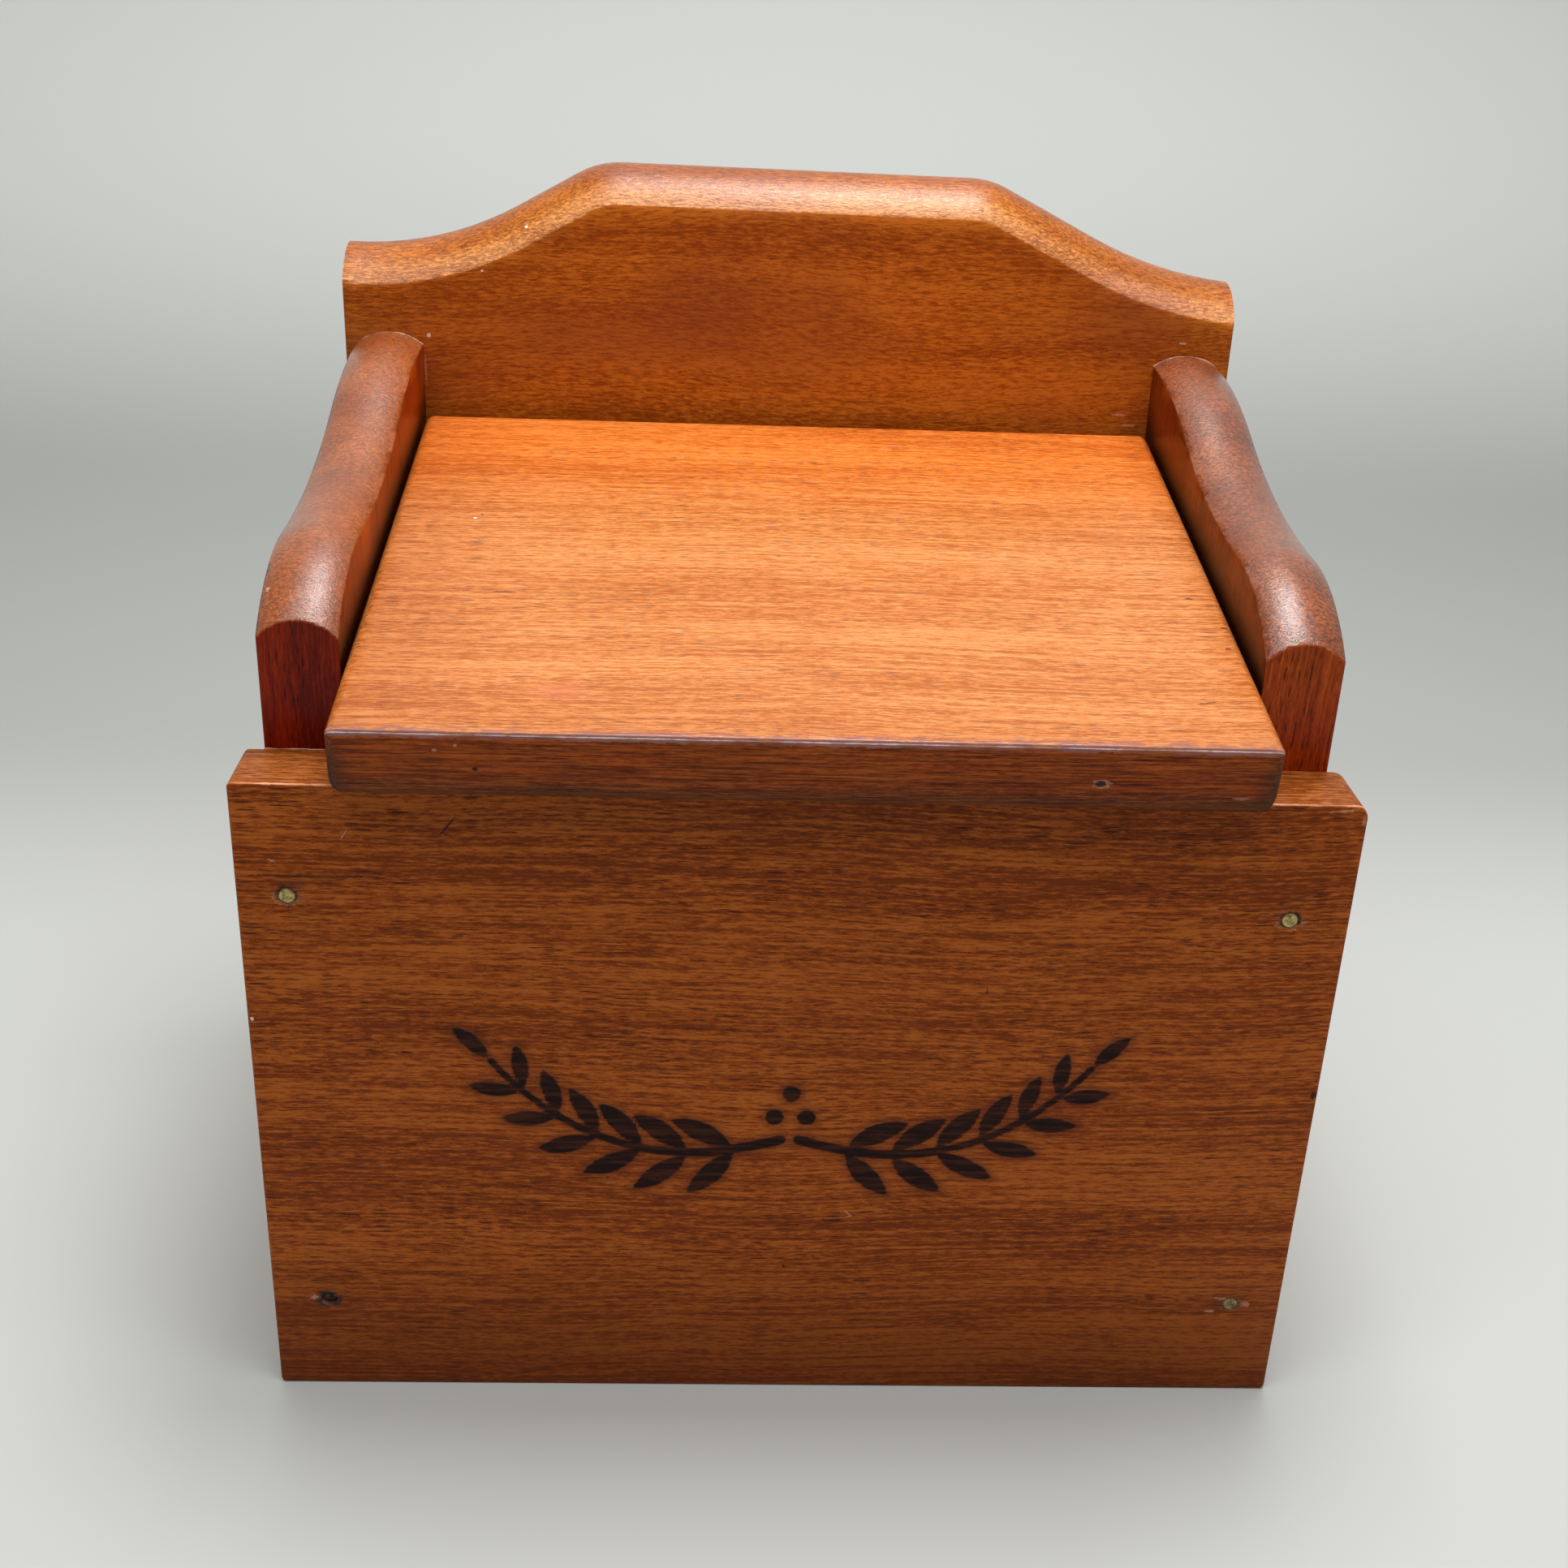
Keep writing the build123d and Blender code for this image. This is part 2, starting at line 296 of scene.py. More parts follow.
crowding = noise(place, (0.025, 0.14, 0.14))
fine = pore_layer(2.8, 0.30, 0.75, 0.44) * crowding.ramp(0.40, 0.62, 0.10, 0.85)
middling = pore_layer(5.5, 0.48, 0.60, 0.36) * crowding.ramp(0.36, 0.56, 0.15, 0.9)
give(
    Band=noise(place, (0.007, 0.10, 0.10), 3.0, 0.55),
    Streak=noise(place, (0.026, 1.9, 1.9), 4.0, 0.68),
    Fibre=noise(place, (0.45, 2.7, 2.7), 4.0, 0.8),
    Pores=fine.at_least(middling),
)
print("grain: bands, streaks, fibres and two sizes of pores")

# %% [markdown]
# ## Worn edges, from attributes
# Wear follows the edges of a board. A shader can't see how far an edge is, so each board's mesh
# carries that distance as an attribute, `to_edge`, in millimetres, and this group turns it into
# a broken line of rubbed finish. A second one, `rub`, says how much hands have rubbed there.

# %% The wear group
wear_group, given, give = new_group(
    "worn_edge",
    {"Place": (VECTOR, None), "Width": (FLOAT, 0.6), "Amount": (FLOAT, 0.6)},
    {"Worn": FLOAT, "Darker": FLOAT},
)
to_edge = attribute_of(wear_group, "to_edge")
patches = noise(given["Place"], (0.12, 0.12, 0.12), 3.0, 0.6)
crumbs = noise(given["Place"], (1.3, 1.3, 1.3))
reach = given["Width"] * (patches + crumbs)
near = reach * attribute_of(wear_group, "rub") - to_edge
give(
    Worn=near.ramp(0.0, 0.35) * patches.ramp(0.36, 0.60, 0.25, 1.0) * given["Amount"],
    Darker=to_edge.ramp(0.0, 7.0, 1.0, 0.0),
)

# %% [markdown]
# ## Marks of use
# Knots, scratches, torn wood round a nail and specks of dust each sit at one known place. They
# could be painted by hand, but a list of places and sizes can be read and changed. One group
# draws a single mark: a flat ragged ellipsoid round its centre, so that it only touches the face
# that it lies on.

# %% The mark group
mark_group, given, give = new_group(
    "mark",
    {"Place": (VECTOR, None), "Centre": (VECTOR, None), "Turn": (VECTOR, None),
     "Half Size": (VECTOR, (1.0, 1.0, 1.0)), "Ragged": (FLOAT, 0.5)},
    {"Mask": FLOAT},
)
offset = vector_math("SUBTRACT", given["Place"], given["Centre"])
offset = wire(mark_group, "ShaderNodeVectorRotate", {"Vector": offset, "Rotation": given["Turn"]},
              rotation_type="EULER_XYZ")
scaled = vector_math("DIVIDE", offset, given["Half Size"])
far_out = wire(mark_group, "ShaderNodeVectorMath", {0: scaled}, "Value", operation="LENGTH")
torn = (noise(given["Place"], (1.4, 3.6, 3.6), 3.0, 0.6) - 0.5) * (given["Ragged"] * 3.0)
give(Mask=(torn + 1.0 - far_out).ramp(0.0, 0.35))

def add_marks(skin, marks):
    """Lay marks on a skin: (centre, half size, ragged, colour, strength, depth, its turn if any)."""
    for centre, half_size, ragged, mark_colour, strength, depth, *turns in marks:
        values = {"Place": skin.place, "Centre": centre, "Half Size": half_size,
                  "Turn": turns[0] if turns else NO_TURN, "Ragged": ragged}
        mark = wire(skin.tree, "ShaderNodeGroup", values, node_tree=mark_group)
        skin.paint(mark * strength, mark_colour)
        if depth:
            skin.height = skin.height - mark * depth


# %% [markdown]
# ## Stained and lacquered wood
# The stain is reddish brown under a satin lacquer. The bands and fibres mix three tones of it,
# the pores pull it almost to black, and the rubbed edges show paler wood. Every board gets its
# own material, because each was cut from another plank and took the stain differently.

# %% The stained wood
LID_TILT, LID_THICKNESS = math.radians(8.5), 12
ALONG_X = NO_TURN
ALONG_Z = (0.0, math.pi / 2, 0.0)  # lays the upright grain along the pattern's X
WITH_LID = (-LID_TILT, 0.0, 0.0)  # levels the lid, so that Y runs up its slope
DARK, SCORCHED = (0.030, 0.008, 0.004), (0.012, 0.003, 0.002)
PALE, DUST = (0.62, 0.34, 0.22), (0.80, 0.74, 0.66)
BUMP_DEPTH, COAT_ROUGHNESS = 0.05 * MM, 0.20
TONE_REACH = 0.08  # how far round the middle tone the stain runs from deep to light


class Skin:
    """A board's finish in the making, which the board's own extras may change."""

    def __init__(self, place):
        self.place, self.tree, self.coat = place, place.tree, None

    def noise(self, scale, detail=2.0, roughness=0.5):
        return noise(self.place, scale, detail, roughness)

    def paint(self, share, colour):
        """Lay a colour over a share of the surface."""
        self.colour = mix(share, self.colour, colour)

    def tint(self, share, tint):
        """Multiply a share of the surface by a tint."""
        self.paint(share, tinted(self.colour, tint))


def stained_wood(name, turn, seed, tones, wear=(0.6, 0.6), pore_depth=0.8, gloss=0.34, sheen=0.3,
                 coat=0.25, shares=(0.33, 0.35, 0.32), contrast=1.0, rubbed=(0.50, 0.22, 0.12),
                 marks=(), extras=None):
    """A board's material: its grain direction, the three tones of its stain and its marks."""
    deep, middle, light = tones
    material, tree, shader = new_material(name)
    skin = Skin(place_in_mm(tree, turn))
    values = {"Place": skin.place, "Seed": seed}
    grain = add_node(tree, "ShaderNodeGroup", values, node_tree=grain_group).outputs
    values = {"Place": skin.place, "Width": wear[0], "Amount": wear[1]}
    worn = add_node(tree, "ShaderNodeGroup", values, node_tree=wear_group).outputs

    # Each noise hangs about 0.5, so the tone does too.
    parts = [Wire(grain[part]) for part in ("Band", "Streak", "Fibre")]
    tone = sum(part * share for part, share in zip(parts, shares))
    reach = TONE_REACH / contrast
    skin.colour = mix(tone.ramp(0.5 - reach, 0.5), deep, middle)
    skin.paint(tone.ramp(0.5, 0.5 + reach), light)
    pores = Wire(grain["Pores"]) * pore_depth
    skin.paint(pores, [0.13 * c for c in deep])
    skin.paint(Wire(worn["Darker"]) * 0.15, [0.5 * c for c in deep])
    skin.height = Wire(grain["Fibre"]) * 0.6 - pores
    skin.roughness = Wire(grain["Streak"]) * 0.16 + (gloss - 0.08)
    if extras:
        extras(skin)
    add_marks(skin, marks)
    skin.paint(Wire(worn["Worn"]), rubbed)
    bump = {"Strength": 0.9, "Distance": BUMP_DEPTH, "Height": skin.height}
    bump = wire(tree, "ShaderNodeBump", bump)
    fill(shader, {
        "Base Color": skin.colour, "Roughness": skin.roughness, "Normal": bump,
        "Coat Normal": bump, "Specular IOR Level": sheen,
        "Coat Weight": skin.coat or coat, "Coat Roughness": COAT_ROUGHNESS,
    })
    return material


# %% [markdown]
# ## Working copies of the boards
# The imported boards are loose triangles, as coarse as their shape allows. A worn edge, a chip or a
# burnt groove needs a finer surface. Subdividing long thin triangles gives a poor one, so the
# copy is first cleaned (doubles merged, flat facets joined) and then sawn by planes: many where
# something is to be worked, few elsewhere. The outer shape doesn't change by this.

# %% Saw a board's surface into a finer mesh
CREASE, FLAT = math.radians(15), math.radians(0.2)  # angles between two faces
SMOOTH_TO, NAIL_SMOOTH_TO = math.radians(24), math.radians(50)
EDGE_POINT_SPACING = 0.35 * MM


def bench_copy(node_name):
    """A clean copy of a board's mesh as a bmesh, and a tree of points along its sharp edges."""
    shop = bmesh.new()
    shop.from_mesh(nodes[node_name].data)
    bmesh.ops.remove_doubles(shop, verts=shop.verts, dist=1e-6)
    bmesh.ops.dissolve_limit(shop, angle_limit=FLAT, verts=shop.verts, edges=shop.edges)
    points = []
    for edge in shop.edges:
        if len(edge.link_faces) == 2 and edge.calc_face_angle(0.0) > CREASE:
            first, second = (vertex.co.copy() for vertex in edge.verts)
            steps = max(1, int((second - first).length / EDGE_POINT_SPACING))
            points += [first.lerp(second, step / steps) for step in range(steps + 1)]
    edges_near = KDTree(len(points))
    for number, point in enumerate(points):
        edges_near.insert(point, number)
    edges_near.balance()
    return shop, edges_near


def spread(start, end, pitch):
    """Places from start to end, evenly spaced, at most pitch apart."""
    count = max(1, math.ceil(abs(end - start) / pitch))
    return [start + (end - start) * step / count for step in range(count + 1)]


def saw(shop, normal, places, geometry=None):
    """Cut the surface, or a part of it, along planes at these distances from the origin."""
    normal = Vector(normal)
    for distance in places:
        cut = bmesh.ops.bisect_plane(
            shop, geom=geometry or [*shop.verts, *shop.edges, *shop.faces], dist=1e-8,
            plane_co=normal * distance, plane_no=normal,
        )
        geometry = geometry and cut["geom"]
    return geometry


def saw_evenly(shop, box, pitch, axes):
    """Cut the whole surface into squares of about this pitch."""
    for axis in axes:
        normal = [float(axis == other) for other in "xyz"]
        saw(shop, normal, spread(getattr(box[0], axis), getattr(box[1], axis), pitch)[1:-1])


def saw_patch(shop, inside, cuts):
    """Cut only the faces whose middle is inside, along each (normal, places) of the cuts."""
    faces = [face for face in shop.faces if inside(face.calc_center_median())]
    patch = [*{v for face in faces for v in face.verts}, *{e for face in faces for e in face.edges}]
    patch += faces
    for normal, places in cuts:
        patch = saw(shop, normal, places, patch)


def finish_board(shop, name, edges_near, node_name, body, material, attributes=None, reshape=None):
    """Turn the worked surface into an object that stands for its CAD node.

    attributes: name to function, from points in millimetres to one value each.
    reshape: a function from points and the attributes to new points.
    """
    mesh = bpy.data.meshes.new(name)
    bmesh.ops.triangulate(shop, faces=[face for face in shop.faces if len(face.verts) > 4])
    shop.to_mesh(mesh)
    shop.free()
    points = np.array([vertex.co for vertex in mesh.vertices]) / MM
    values = {
        "to_edge": np.array([edges_near.find(vertex.co)[2] for vertex in mesh.vertices]) / MM,
        "rub": np.ones(len(points)),
    }
    for label, rule in (attributes or {}).items():
        values[label] = rule(points)
    for label, numbers in values.items():
        attribute = mesh.attributes.new(label, "FLOAT", "POINT")
        attribute.data.foreach_set("value", numbers.astype(np.float32))
    if reshape:
        mesh.vertices.foreach_set("co", (reshape(points, values) * MM).astype(np.float32).ravel())
        mesh.update()
    mesh.polygons.foreach_set("use_smooth", [True] * len(mesh.polygons))
    mesh.set_sharp_from_angle(angle=SMOOTH_TO)
    mesh.materials.append(material)
    place_piece(name, mesh, body, [node_name])
    print(f"{name}: {len(mesh.vertices)} points, {len(mesh.polygons)} faces")


# %% [markdown]
# ## Where things lie
# The lid slopes, so some finishes are placed along its slope and square to it. The rounded tops
# of the boards are found by where their faces point: they took more stain, and they shine, and on
# the back board part of that shine is a painted sheen.

# %% Where the lid lies, and which faces are rounded over
slope = np.array([0, math.cos(LID_TILT), math.sin(LID_TILT)])
upright = np.array([0, -math.sin(LID_TILT), math.cos(LID_TILT)])
lid_points = np.array([vertex.co for vertex in nodes["lid"].data.vertices]) / MM
LID_FRONT, LID_FACE = (lid_points @ slope).min(), (lid_points @ upright).max()
LID_UNDER = LID_FACE - LID_THICKNESS
print(f"lid: front arris {LID_FRONT:.1f} mm down the slope, face {LID_FACE:.1f} mm square to it")


def rounded_over(shop):
    """A rule that gives one on a board's rounded top, and nothing elsewhere."""
    shop.normal_update()
    tops = [face for face in shop.faces
            if face.normal.z > 0.15 and abs(face.normal.x) < 0.95 and abs(face.normal.y) < 0.95]
    over = {tuple(round(c / MM, 3) for c in vertex.co) for face in tops for vertex in face.verts}
    return lambda points: np.array([float(tuple(point.round(3)) in over) for point in points])


def arris_line(skin, behind, below, width):
    """A ragged line along an arris, from the depths behind its two faces: rubbed wood, and on the
    lid also a painted highlight.
    """
    crumbs = skin.noise((0.45, 0.9, 0.9), 3.0, 0.7)
    patches = skin.noise((0.10, 0.10, 0.10), 3.0, 0.6)
    line = (crumbs * (2 * width) - abs(behind - below)).ramp(0.0, 0.2)
    line = line * behind.at_least(below).ramp(1.5, 1.0)
    return line * patches.ramp(0.38, 0.58, 0.35, 1.0)


# %% [markdown]
# ## Side boards
# Their grain runs upright, so the rounded top shows end grain: fine speckles, and more stain
# taken up. The front edges are darker, towards the foot most, and the left one much more so. The
# inner faces are tinted darker as a painted shade, nearly black towards the lid.

# %% Side boards
side_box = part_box("left_side")
SIDE_FRONT, SIDE_INNER, SIDE_OUTER = side_box[0].y / MM, -side_box[1].x / MM, -side_box[0].x / MM
SIDE_TONES = (0.16, 0.030, 0.004), (0.31, 0.066, 0.009), (0.44, 0.12, 0.024)


def side_board(side, seed, front_tone, top_tone, inner_tone_and_shade, marks):
    """One side board: the stain of its front edge and rounded top, the tint and painted shade of its
    inner face, and its marks.
    """
    def edge_and_top(skin):
        """The cooler, glossier rounded top, the inner face with its painted shade, and the dark
        front edge.
        """
        _, y, x = split(skin.place)
        wood, out, plain = skin.colour, abs(x), object_place(skin.tree)
        end_grain = skin.noise((2.4, 2.6, 1.1), 3.0, 0.7)
        speckled = mix(end_grain.ramp(0.40, 0.58), (0.42, 0.35, 0.34), (1.3, 1.25, 1.2))
        cooler = mix(0.40, tinted(wood, speckled), top_tone)
        inner = out.ramp(SIDE_INNER + 0.12, SIDE_INNER + 0.03)
        outer = out.ramp(SIDE_OUTER - 0.12, SIDE_OUTER - 0.03)
        over = attribute_of(skin.tree, "rounded_top") - inner.at_least(outer)
        over = over.at_least(0.0)
        # Painted shade: the inner face is tinted darker, and near the lid nearly black.
        above_lid = vector_math("DOT_PRODUCT", plain, tuple(upright / MM), "Value")
        gap_shade = above_lid.ramp(LID_FACE + 6.0, LID_FACE - 0.5, 0.0, 0.93)
        shaded = mix(gap_shade, tinted(wood, inner_tone_and_shade), (0.012, 0.003, 0.001))
        skin.paint(inner, shaded)
        skin.paint(over, cooler)

        on_edge = y.ramp(SIDE_FRONT + 0.14, SIDE_FRONT + 0.03)
        foot = (0.95 * front_tone[0], *[0.62 * part for part in front_tone[1:]])
        head = [1.2 * part for part in front_tone]
        fading = mix(split(plain)[2].ramp(0.112, 0.130), foot, head)
        skin.paint(on_edge, tinted(wood, fading))
        skin.coat = over * (1.0 - on_edge)
        skin.height = skin.height + end_grain * skin.coat * 2.0

    shop, near = bench_copy(f"{side}_side")
    saw_evenly(shop, side_box, 3 * MM, "yz")
    top_rule = rounded_over(shop)
    low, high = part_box(f"{side}_side")
    front_top = max(v.co.z for v in shop.verts if v.co.y < low.y + 0.1 * MM)

    def under_the_arc(middle):
        """Whether a face lies on the front edge, just under its rounded end."""
        return middle.y < low.y + 0.05 * MM and middle.z > front_top - 9 * MM

    saw_patch(shop, under_the_arc, [
        ((0, 0, 1), spread(front_top - 8 * MM, front_top, 0.5 * MM)[:-1]),
        ((1, 0, 0), spread(low.x, high.x, 0.6 * MM)[1:-1]),
    ])
    finish = stained_wood(
        f"stained_{side}_side", ALONG_Z, seed, SIDE_TONES, wear=(0.3, 0.25), gloss=0.32,
        sheen=0.15, marks=marks, extras=edge_and_top,
    )
    finish_board(shop, f"{side}_side_board", near, f"{side}_side", "box", finish,
                 {"rounded_top": top_rule})


def on_side(x, y, z):
    """A place in the turned pattern of the side boards."""
    return tuple(Matrix.Rotation(ALONG_Z[1], 3, "Y") @ Vector((x, y, z)))


CHIP = (0.70, 0.44, 0.32)
LEFT_MARKS = [
    (on_side(-78.3, -38.5, 134.2), (0.5, 0.9, 0.30), 0.9, CHIP, 0.8, -0.5),
    (on_side(-79.0, -41.0, 133.2), (0.5, 0.7, 0.30), 0.9, CHIP, 0.7, -0.5),
    (on_side(-70.6, -47.0, 131.5), (0.5, 0.6, 0.4), 0.5, (0.65, 0.42, 0.38), 0.7, 0),
]
RIGHT_MARKS = [
    (on_side(76.0, -46.5, 127.0), (3.0, 0.4, 0.5), 1.0, PALE, 0.35, 0),
    (on_side(71.0, -46.5, 125.5), (0.5, 0.5, 1.6), 1.0, PALE, 0.4, 0),
]
side_board("left", 3.0, (0.66, 0.21, 0.05), (0.31, 0.095, 0.032), (0.90, 0.45, 0.12), LEFT_MARKS)
side_board("right", 4.0, (1.0, 0.72, 0.3), (0.13, 0.060, 0.042), (0.55, 0.36, 0.22), RIGHT_MARKS)

# %% [markdown]
# ## Back and bottom boards
# The back is the tallest board. Its top edge is rounded over towards the front, and it took the
# stain unevenly, with darker and cooler patches. Only the rounded edge was lacquered enough to
# shine, and its lower half is tinted paler and pinker as a painted sheen. The bottom board is plain.

# %% Back board
back_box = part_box("back_board")
BACK_FACE = back_box[0].y / MM


def cloudy_back(skin):
    """Broad soft patches where the stain went darker, and the flecked, shiny rounded edge, with a
    painted sheen on its lower half.
    """
    cloud = skin.noise((0.012, 0.012, 0.022), 2.0, 0.55)
    skin.paint(cloud.ramp(0.50, 0.68, 0.0, 0.55), (0.21, 0.042, 0.012))
    depth = split(skin.place)[1]
    behind = depth.ramp(BACK_FACE + 0.03, BACK_FACE + 0.12)
    over = attribute_of(skin.tree, "rounded_top") * behind
    fleck = skin.noise((0.9, 2.2, 2.2), 3.0, 0.7).ramp(0.36, 0.62)
    # Painted sheen: the lower half of the rounded edge is tinted paler and pinker.
    lower = depth.ramp(BACK_FACE + 3.6, BACK_FACE + 1.2)
    painted_sheen_tint = mix(lower, (0.92, 1.0, 0.85), (1.40, 2.1, 6.5))
    skin.tint(over, tinted(mix(fleck, (0.70, 0.66, 0.66), (1.2, 1.2, 1.2)), painted_sheen_tint))
    skin.height = skin.height + over * fleck * 0.6
    skin.coat = over * 0.65


SPLINTER = (0.85, 0.66, 0.50)
BACK_MARKS = [
    ((-48.8, 49.6, 171.6), (0.45, 0.5, 0.45), 0.3, SPLINTER, 0.95, -1.0),
    ((-66.9, 47.2, 152.0), (0.45, 0.5, 0.45), 0.3, (0.75, 0.50, 0.42), 0.9, -1.0),
    ((-56.8, 47.2, 164.0), (0.25, 0.5, 0.25), 0.2, DUST, 0.7, 0),
    ((71.6, 50.5, 165.4), (0.45, 0.6, 0.45), 0.3, SPLINTER, 0.95, -1.0),
    ((73.0, 47.2, 154.8), (0.9, 0.5, 0.22), 0.5, PALE, 0.7, 0),
    ((62.5, 47.2, 141.0), (1.4, 0.5, 0.2), 0.6, PALE, 0.5, 0),
    ((64.5, 47.2, 139.0), (1.8, 0.5, 0.2), 0.6, PALE, 0.55, 0),
    ((-67.7, 47.2, 146.0), (0.25, 0.5, 3.0), 0.8, PALE, 0.35, 0),
]
shop, near = bench_copy("back_board")
saw_evenly(shop, back_box, 3 * MM, "xz")
top_rule = rounded_over(shop)
finish = stained_wood(
    "stained_back", ALONG_X, 1.0,
    ((0.26, 0.046, 0.002), (0.40, 0.092, 0.005), (0.54, 0.145, 0.012)), wear=(0.25, 0.1),
    pore_depth=0.4, gloss=0.36, sheen=0.12, shares=(0.24, 0.18, 0.58), contrast=1.3,
    marks=BACK_MARKS, extras=cloudy_back,
)
finish_board(shop, "back_board_worked", near, "back_board", "box", finish,
             {"rounded_top": top_rule})

# %% Bottom board
shop, near = bench_copy("bottom_board")
saw_evenly(shop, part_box("bottom_board"), 4 * MM, "xy")
finish = stained_wood(
    "stained_bottom", ALONG_X, 6.0,
    ((0.20, 0.040, 0.007), (0.34, 0.08, 0.014), (0.46, 0.13, 0.03)), wear=(0.4, 0.3),
)
finish_board(shop, "bottom_board_worked", near, "bottom_board", "box", finish)

# %% [markdown]
# ## The lid
# Hands wear the lid most: its top front arris is rubbed pale and uneven, with a painted highlight
# along it, and its front face has dark streaks along the grain and is grimy, with painted shade
# towards its foot. The arris is worked a little by moving points, up to a third of a millimetre,
# and the rest is painted into its colour.

# %% Lid
lid_low, lid_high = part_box("lid")
BRUISE, MAUVE, BARE_AND_HIGHLIGHT = (0.26, 0.085, 0.065), (0.28, 0.115, 0.100), (0.95, 0.66, 0.58)


def wear_down(points, values):
    """Round the top front arris of the lid unevenly."""
    along, above = points @ slope - LID_FRONT, LID_FACE - points @ upright
    x = points[:, 0]
    depth = 0.16 + 0.07 * np.sin(x / 3.1) + 0.05 * np.sin(x / 1.3 + 1) + 0.05 * np.sin(x / 8.3 + 2)
    near_arris = np.clip(1 - np.hypot(along, above) / 1.5, 0, 1) ** 1.5
    return points + (depth * near_arris)[:, None] * (slope - upright)


def used_lid(skin):
    """The aged top of the lid, more orange towards the back where its painted sheen fades, its
    streaky front face, grimy and with painted shade towards its foot, and its rubbed arris with a
    painted highlight.
    """
    x, y, z = split(skin.place)
    behind, below = y - LID_FRONT, LID_FACE - z
    on_front = y.ramp(LID_FRONT + 5.0, LID_FRONT + 3.0) * z.ramp(LID_FACE - 0.35, LID_FACE - 0.8)
    strips = skin.noise((0.07, 3.4, 3.4), 5.0, 0.8).ramp(0.36, 0.62)
    clean = mix(strips, (0.17, 0.085, 0.04), (0.68, 0.38, 0.16))
    # Grime and painted shade: the front face goes greyer and darker towards its foot.
    grime_and_shade = mix(strips, (0.12, 0.13, 0.18), (0.40, 0.36, 0.42))
    front = tinted(skin.colour, mix(z.ramp(LID_UNDER + 6, LID_UNDER + 0.5), clean, grime_and_shade))
    ends = abs(x).ramp(63.0, 67.5, 0.0, 0.8) * z.ramp(LID_UNDER + 11, LID_UNDER + 6, 0.3, 1.0)
    front = mix(ends, front, (0.060, 0.027, 0.014))

    aged = x.ramp(-38.0, -68.0, 0.0, 0.8).at_least(x.ramp(60.0, 68.0, 0.0, 0.6))
    aged = aged.at_least(y.ramp(LID_FRONT + 12.0, LID_FRONT + 1.0, 0.0, 0.5))
    skin.tint(aged, (0.80, 0.66, 0.50))
    # Painted sheen: the lid's paler, pinker tones stand for a sheen, which this orange tint takes
    # out towards the back, under the back board.
    skin.tint(y.ramp(LID_FRONT + 65.0, LID_FRONT + 100.0), (1.12, 0.86, 0.50))
    skin.paint(on_front, front)
    skin.roughness = skin.roughness + on_front * 0.3
    clouds = skin.noise((0.35, 0.9, 0.9), 3.0, 0.6).ramp(0.44, 0.60)
    bruised = clouds * y.ramp(LID_FRONT + 2.8, LID_FRONT + 1.0, 0, 0.85) * (1.0 - on_front)
    skin.paint(bruised, BRUISE)
    skin.paint(arris_line(skin, behind, below, 0.8), MAUVE)
    # The pale line on the arris is rubbed wood with a painted highlight.
    skin.paint(arris_line(skin, behind, below, 0.20), BARE_AND_HIGHLIGHT)
    skin.coat = (1.0 - on_front) * y.ramp(LID_FRONT + 1.0, LID_FRONT + 0.5, 0.35, 0.6)


def rubbed_arris(points):
    """Where hands rub the lid: only its top front arris."""
    along, above = points @ slope - LID_FRONT, LID_FACE - points @ upright
    return np.where((along < 1.6) & (above < 1.6), 0.35, 0.0)


def on_lid_top(x, up_slope):
    return (x, LID_FRONT + up_slope, LID_FACE)


def on_lid_front(x, height):
    return (x, LID_FRONT, LID_UNDER + height)


LID_MARKS = [
    (on_lid_top(62.2, 45.2), (0.9, 0.35, 0.6), 0.5, DARK, 0.8, 0.5),
    (on_lid_top(65.9, 35.7), (0.8, 0.3, 0.6), 0.5, DARK, 0.7, 0.5),
    (on_lid_top(65.1, 29.1), (0.6, 0.3, 0.6), 0.5, DARK, 0.7, 0.5),
    (on_lid_top(58.5, 12.8), (2.2, 0.18, 0.6), 0.4, DARK, 0.7, 0.8, (0, 0, -0.3)),
    (on_lid_top(-53.7, 67.7), (0.35, 0.3, 0.5), 0.2, DUST, 0.9, 0),
    (on_lid_top(-52.7, 69.1), (0.3, 0.3, 0.5), 0.2, DARK, 0.8, 0),
    (on_lid_top(-35.9, 12.0), (5.0, 2.6, 0.8), 0.5, (0.62, 0.16, 0.08), 0.3, 0),
    (on_lid_front(41.6, 5.9), (1.5, 0.8, 0.9), 0.5, PALE, 0.5, 0.5),
    (on_lid_front(41.4, 5.9), (1.0, 0.8, 0.55), 0.5, DARK, 0.95, 2.0),
    (on_lid_front(62.0, 3.8), (1.6, 0.8, 0.25), 0.7, PALE, 0.35, 0),
    (on_lid_front(-52.2, 9.1), (0.4, 0.6, 0.3), 0.3, PALE, 0.5, -1.0),
    (on_lid_front(-49.3, 9.9), (0.4, 0.6, 0.3), 0.3, PALE, 0.5, -1.0),
    (on_lid_front(-46.7, 6.2), (0.45, 0.6, 0.4), 0.3, DARK, 0.9, 1.0),
]
shop, near = bench_copy("lid")
saw(shop, slope, [(LID_FRONT + step) * MM for step in (0.25, 0.5, 0.8, 1.2, 1.7, 2.4, 3.5, 5)])
saw(shop, slope, spread((LID_FRONT + 8) * MM, (LID_FRONT + 112) * MM, 4 * MM)[:-1])
saw(shop, upright, [(LID_FACE - step) * MM for step in (0.25, 0.5, 0.8, 1.2, 1.8, 2.6, 4, 6, 8)])
saw_evenly(shop, (lid_low, lid_high), 3 * MM, "x")


def at_arris(middle):
    """Whether a face lies at the top front arris of the lid."""
    point = np.array(middle) / MM
    return point @ slope < LID_FRONT + 1.9 and point @ upright > LID_FACE - 1.9


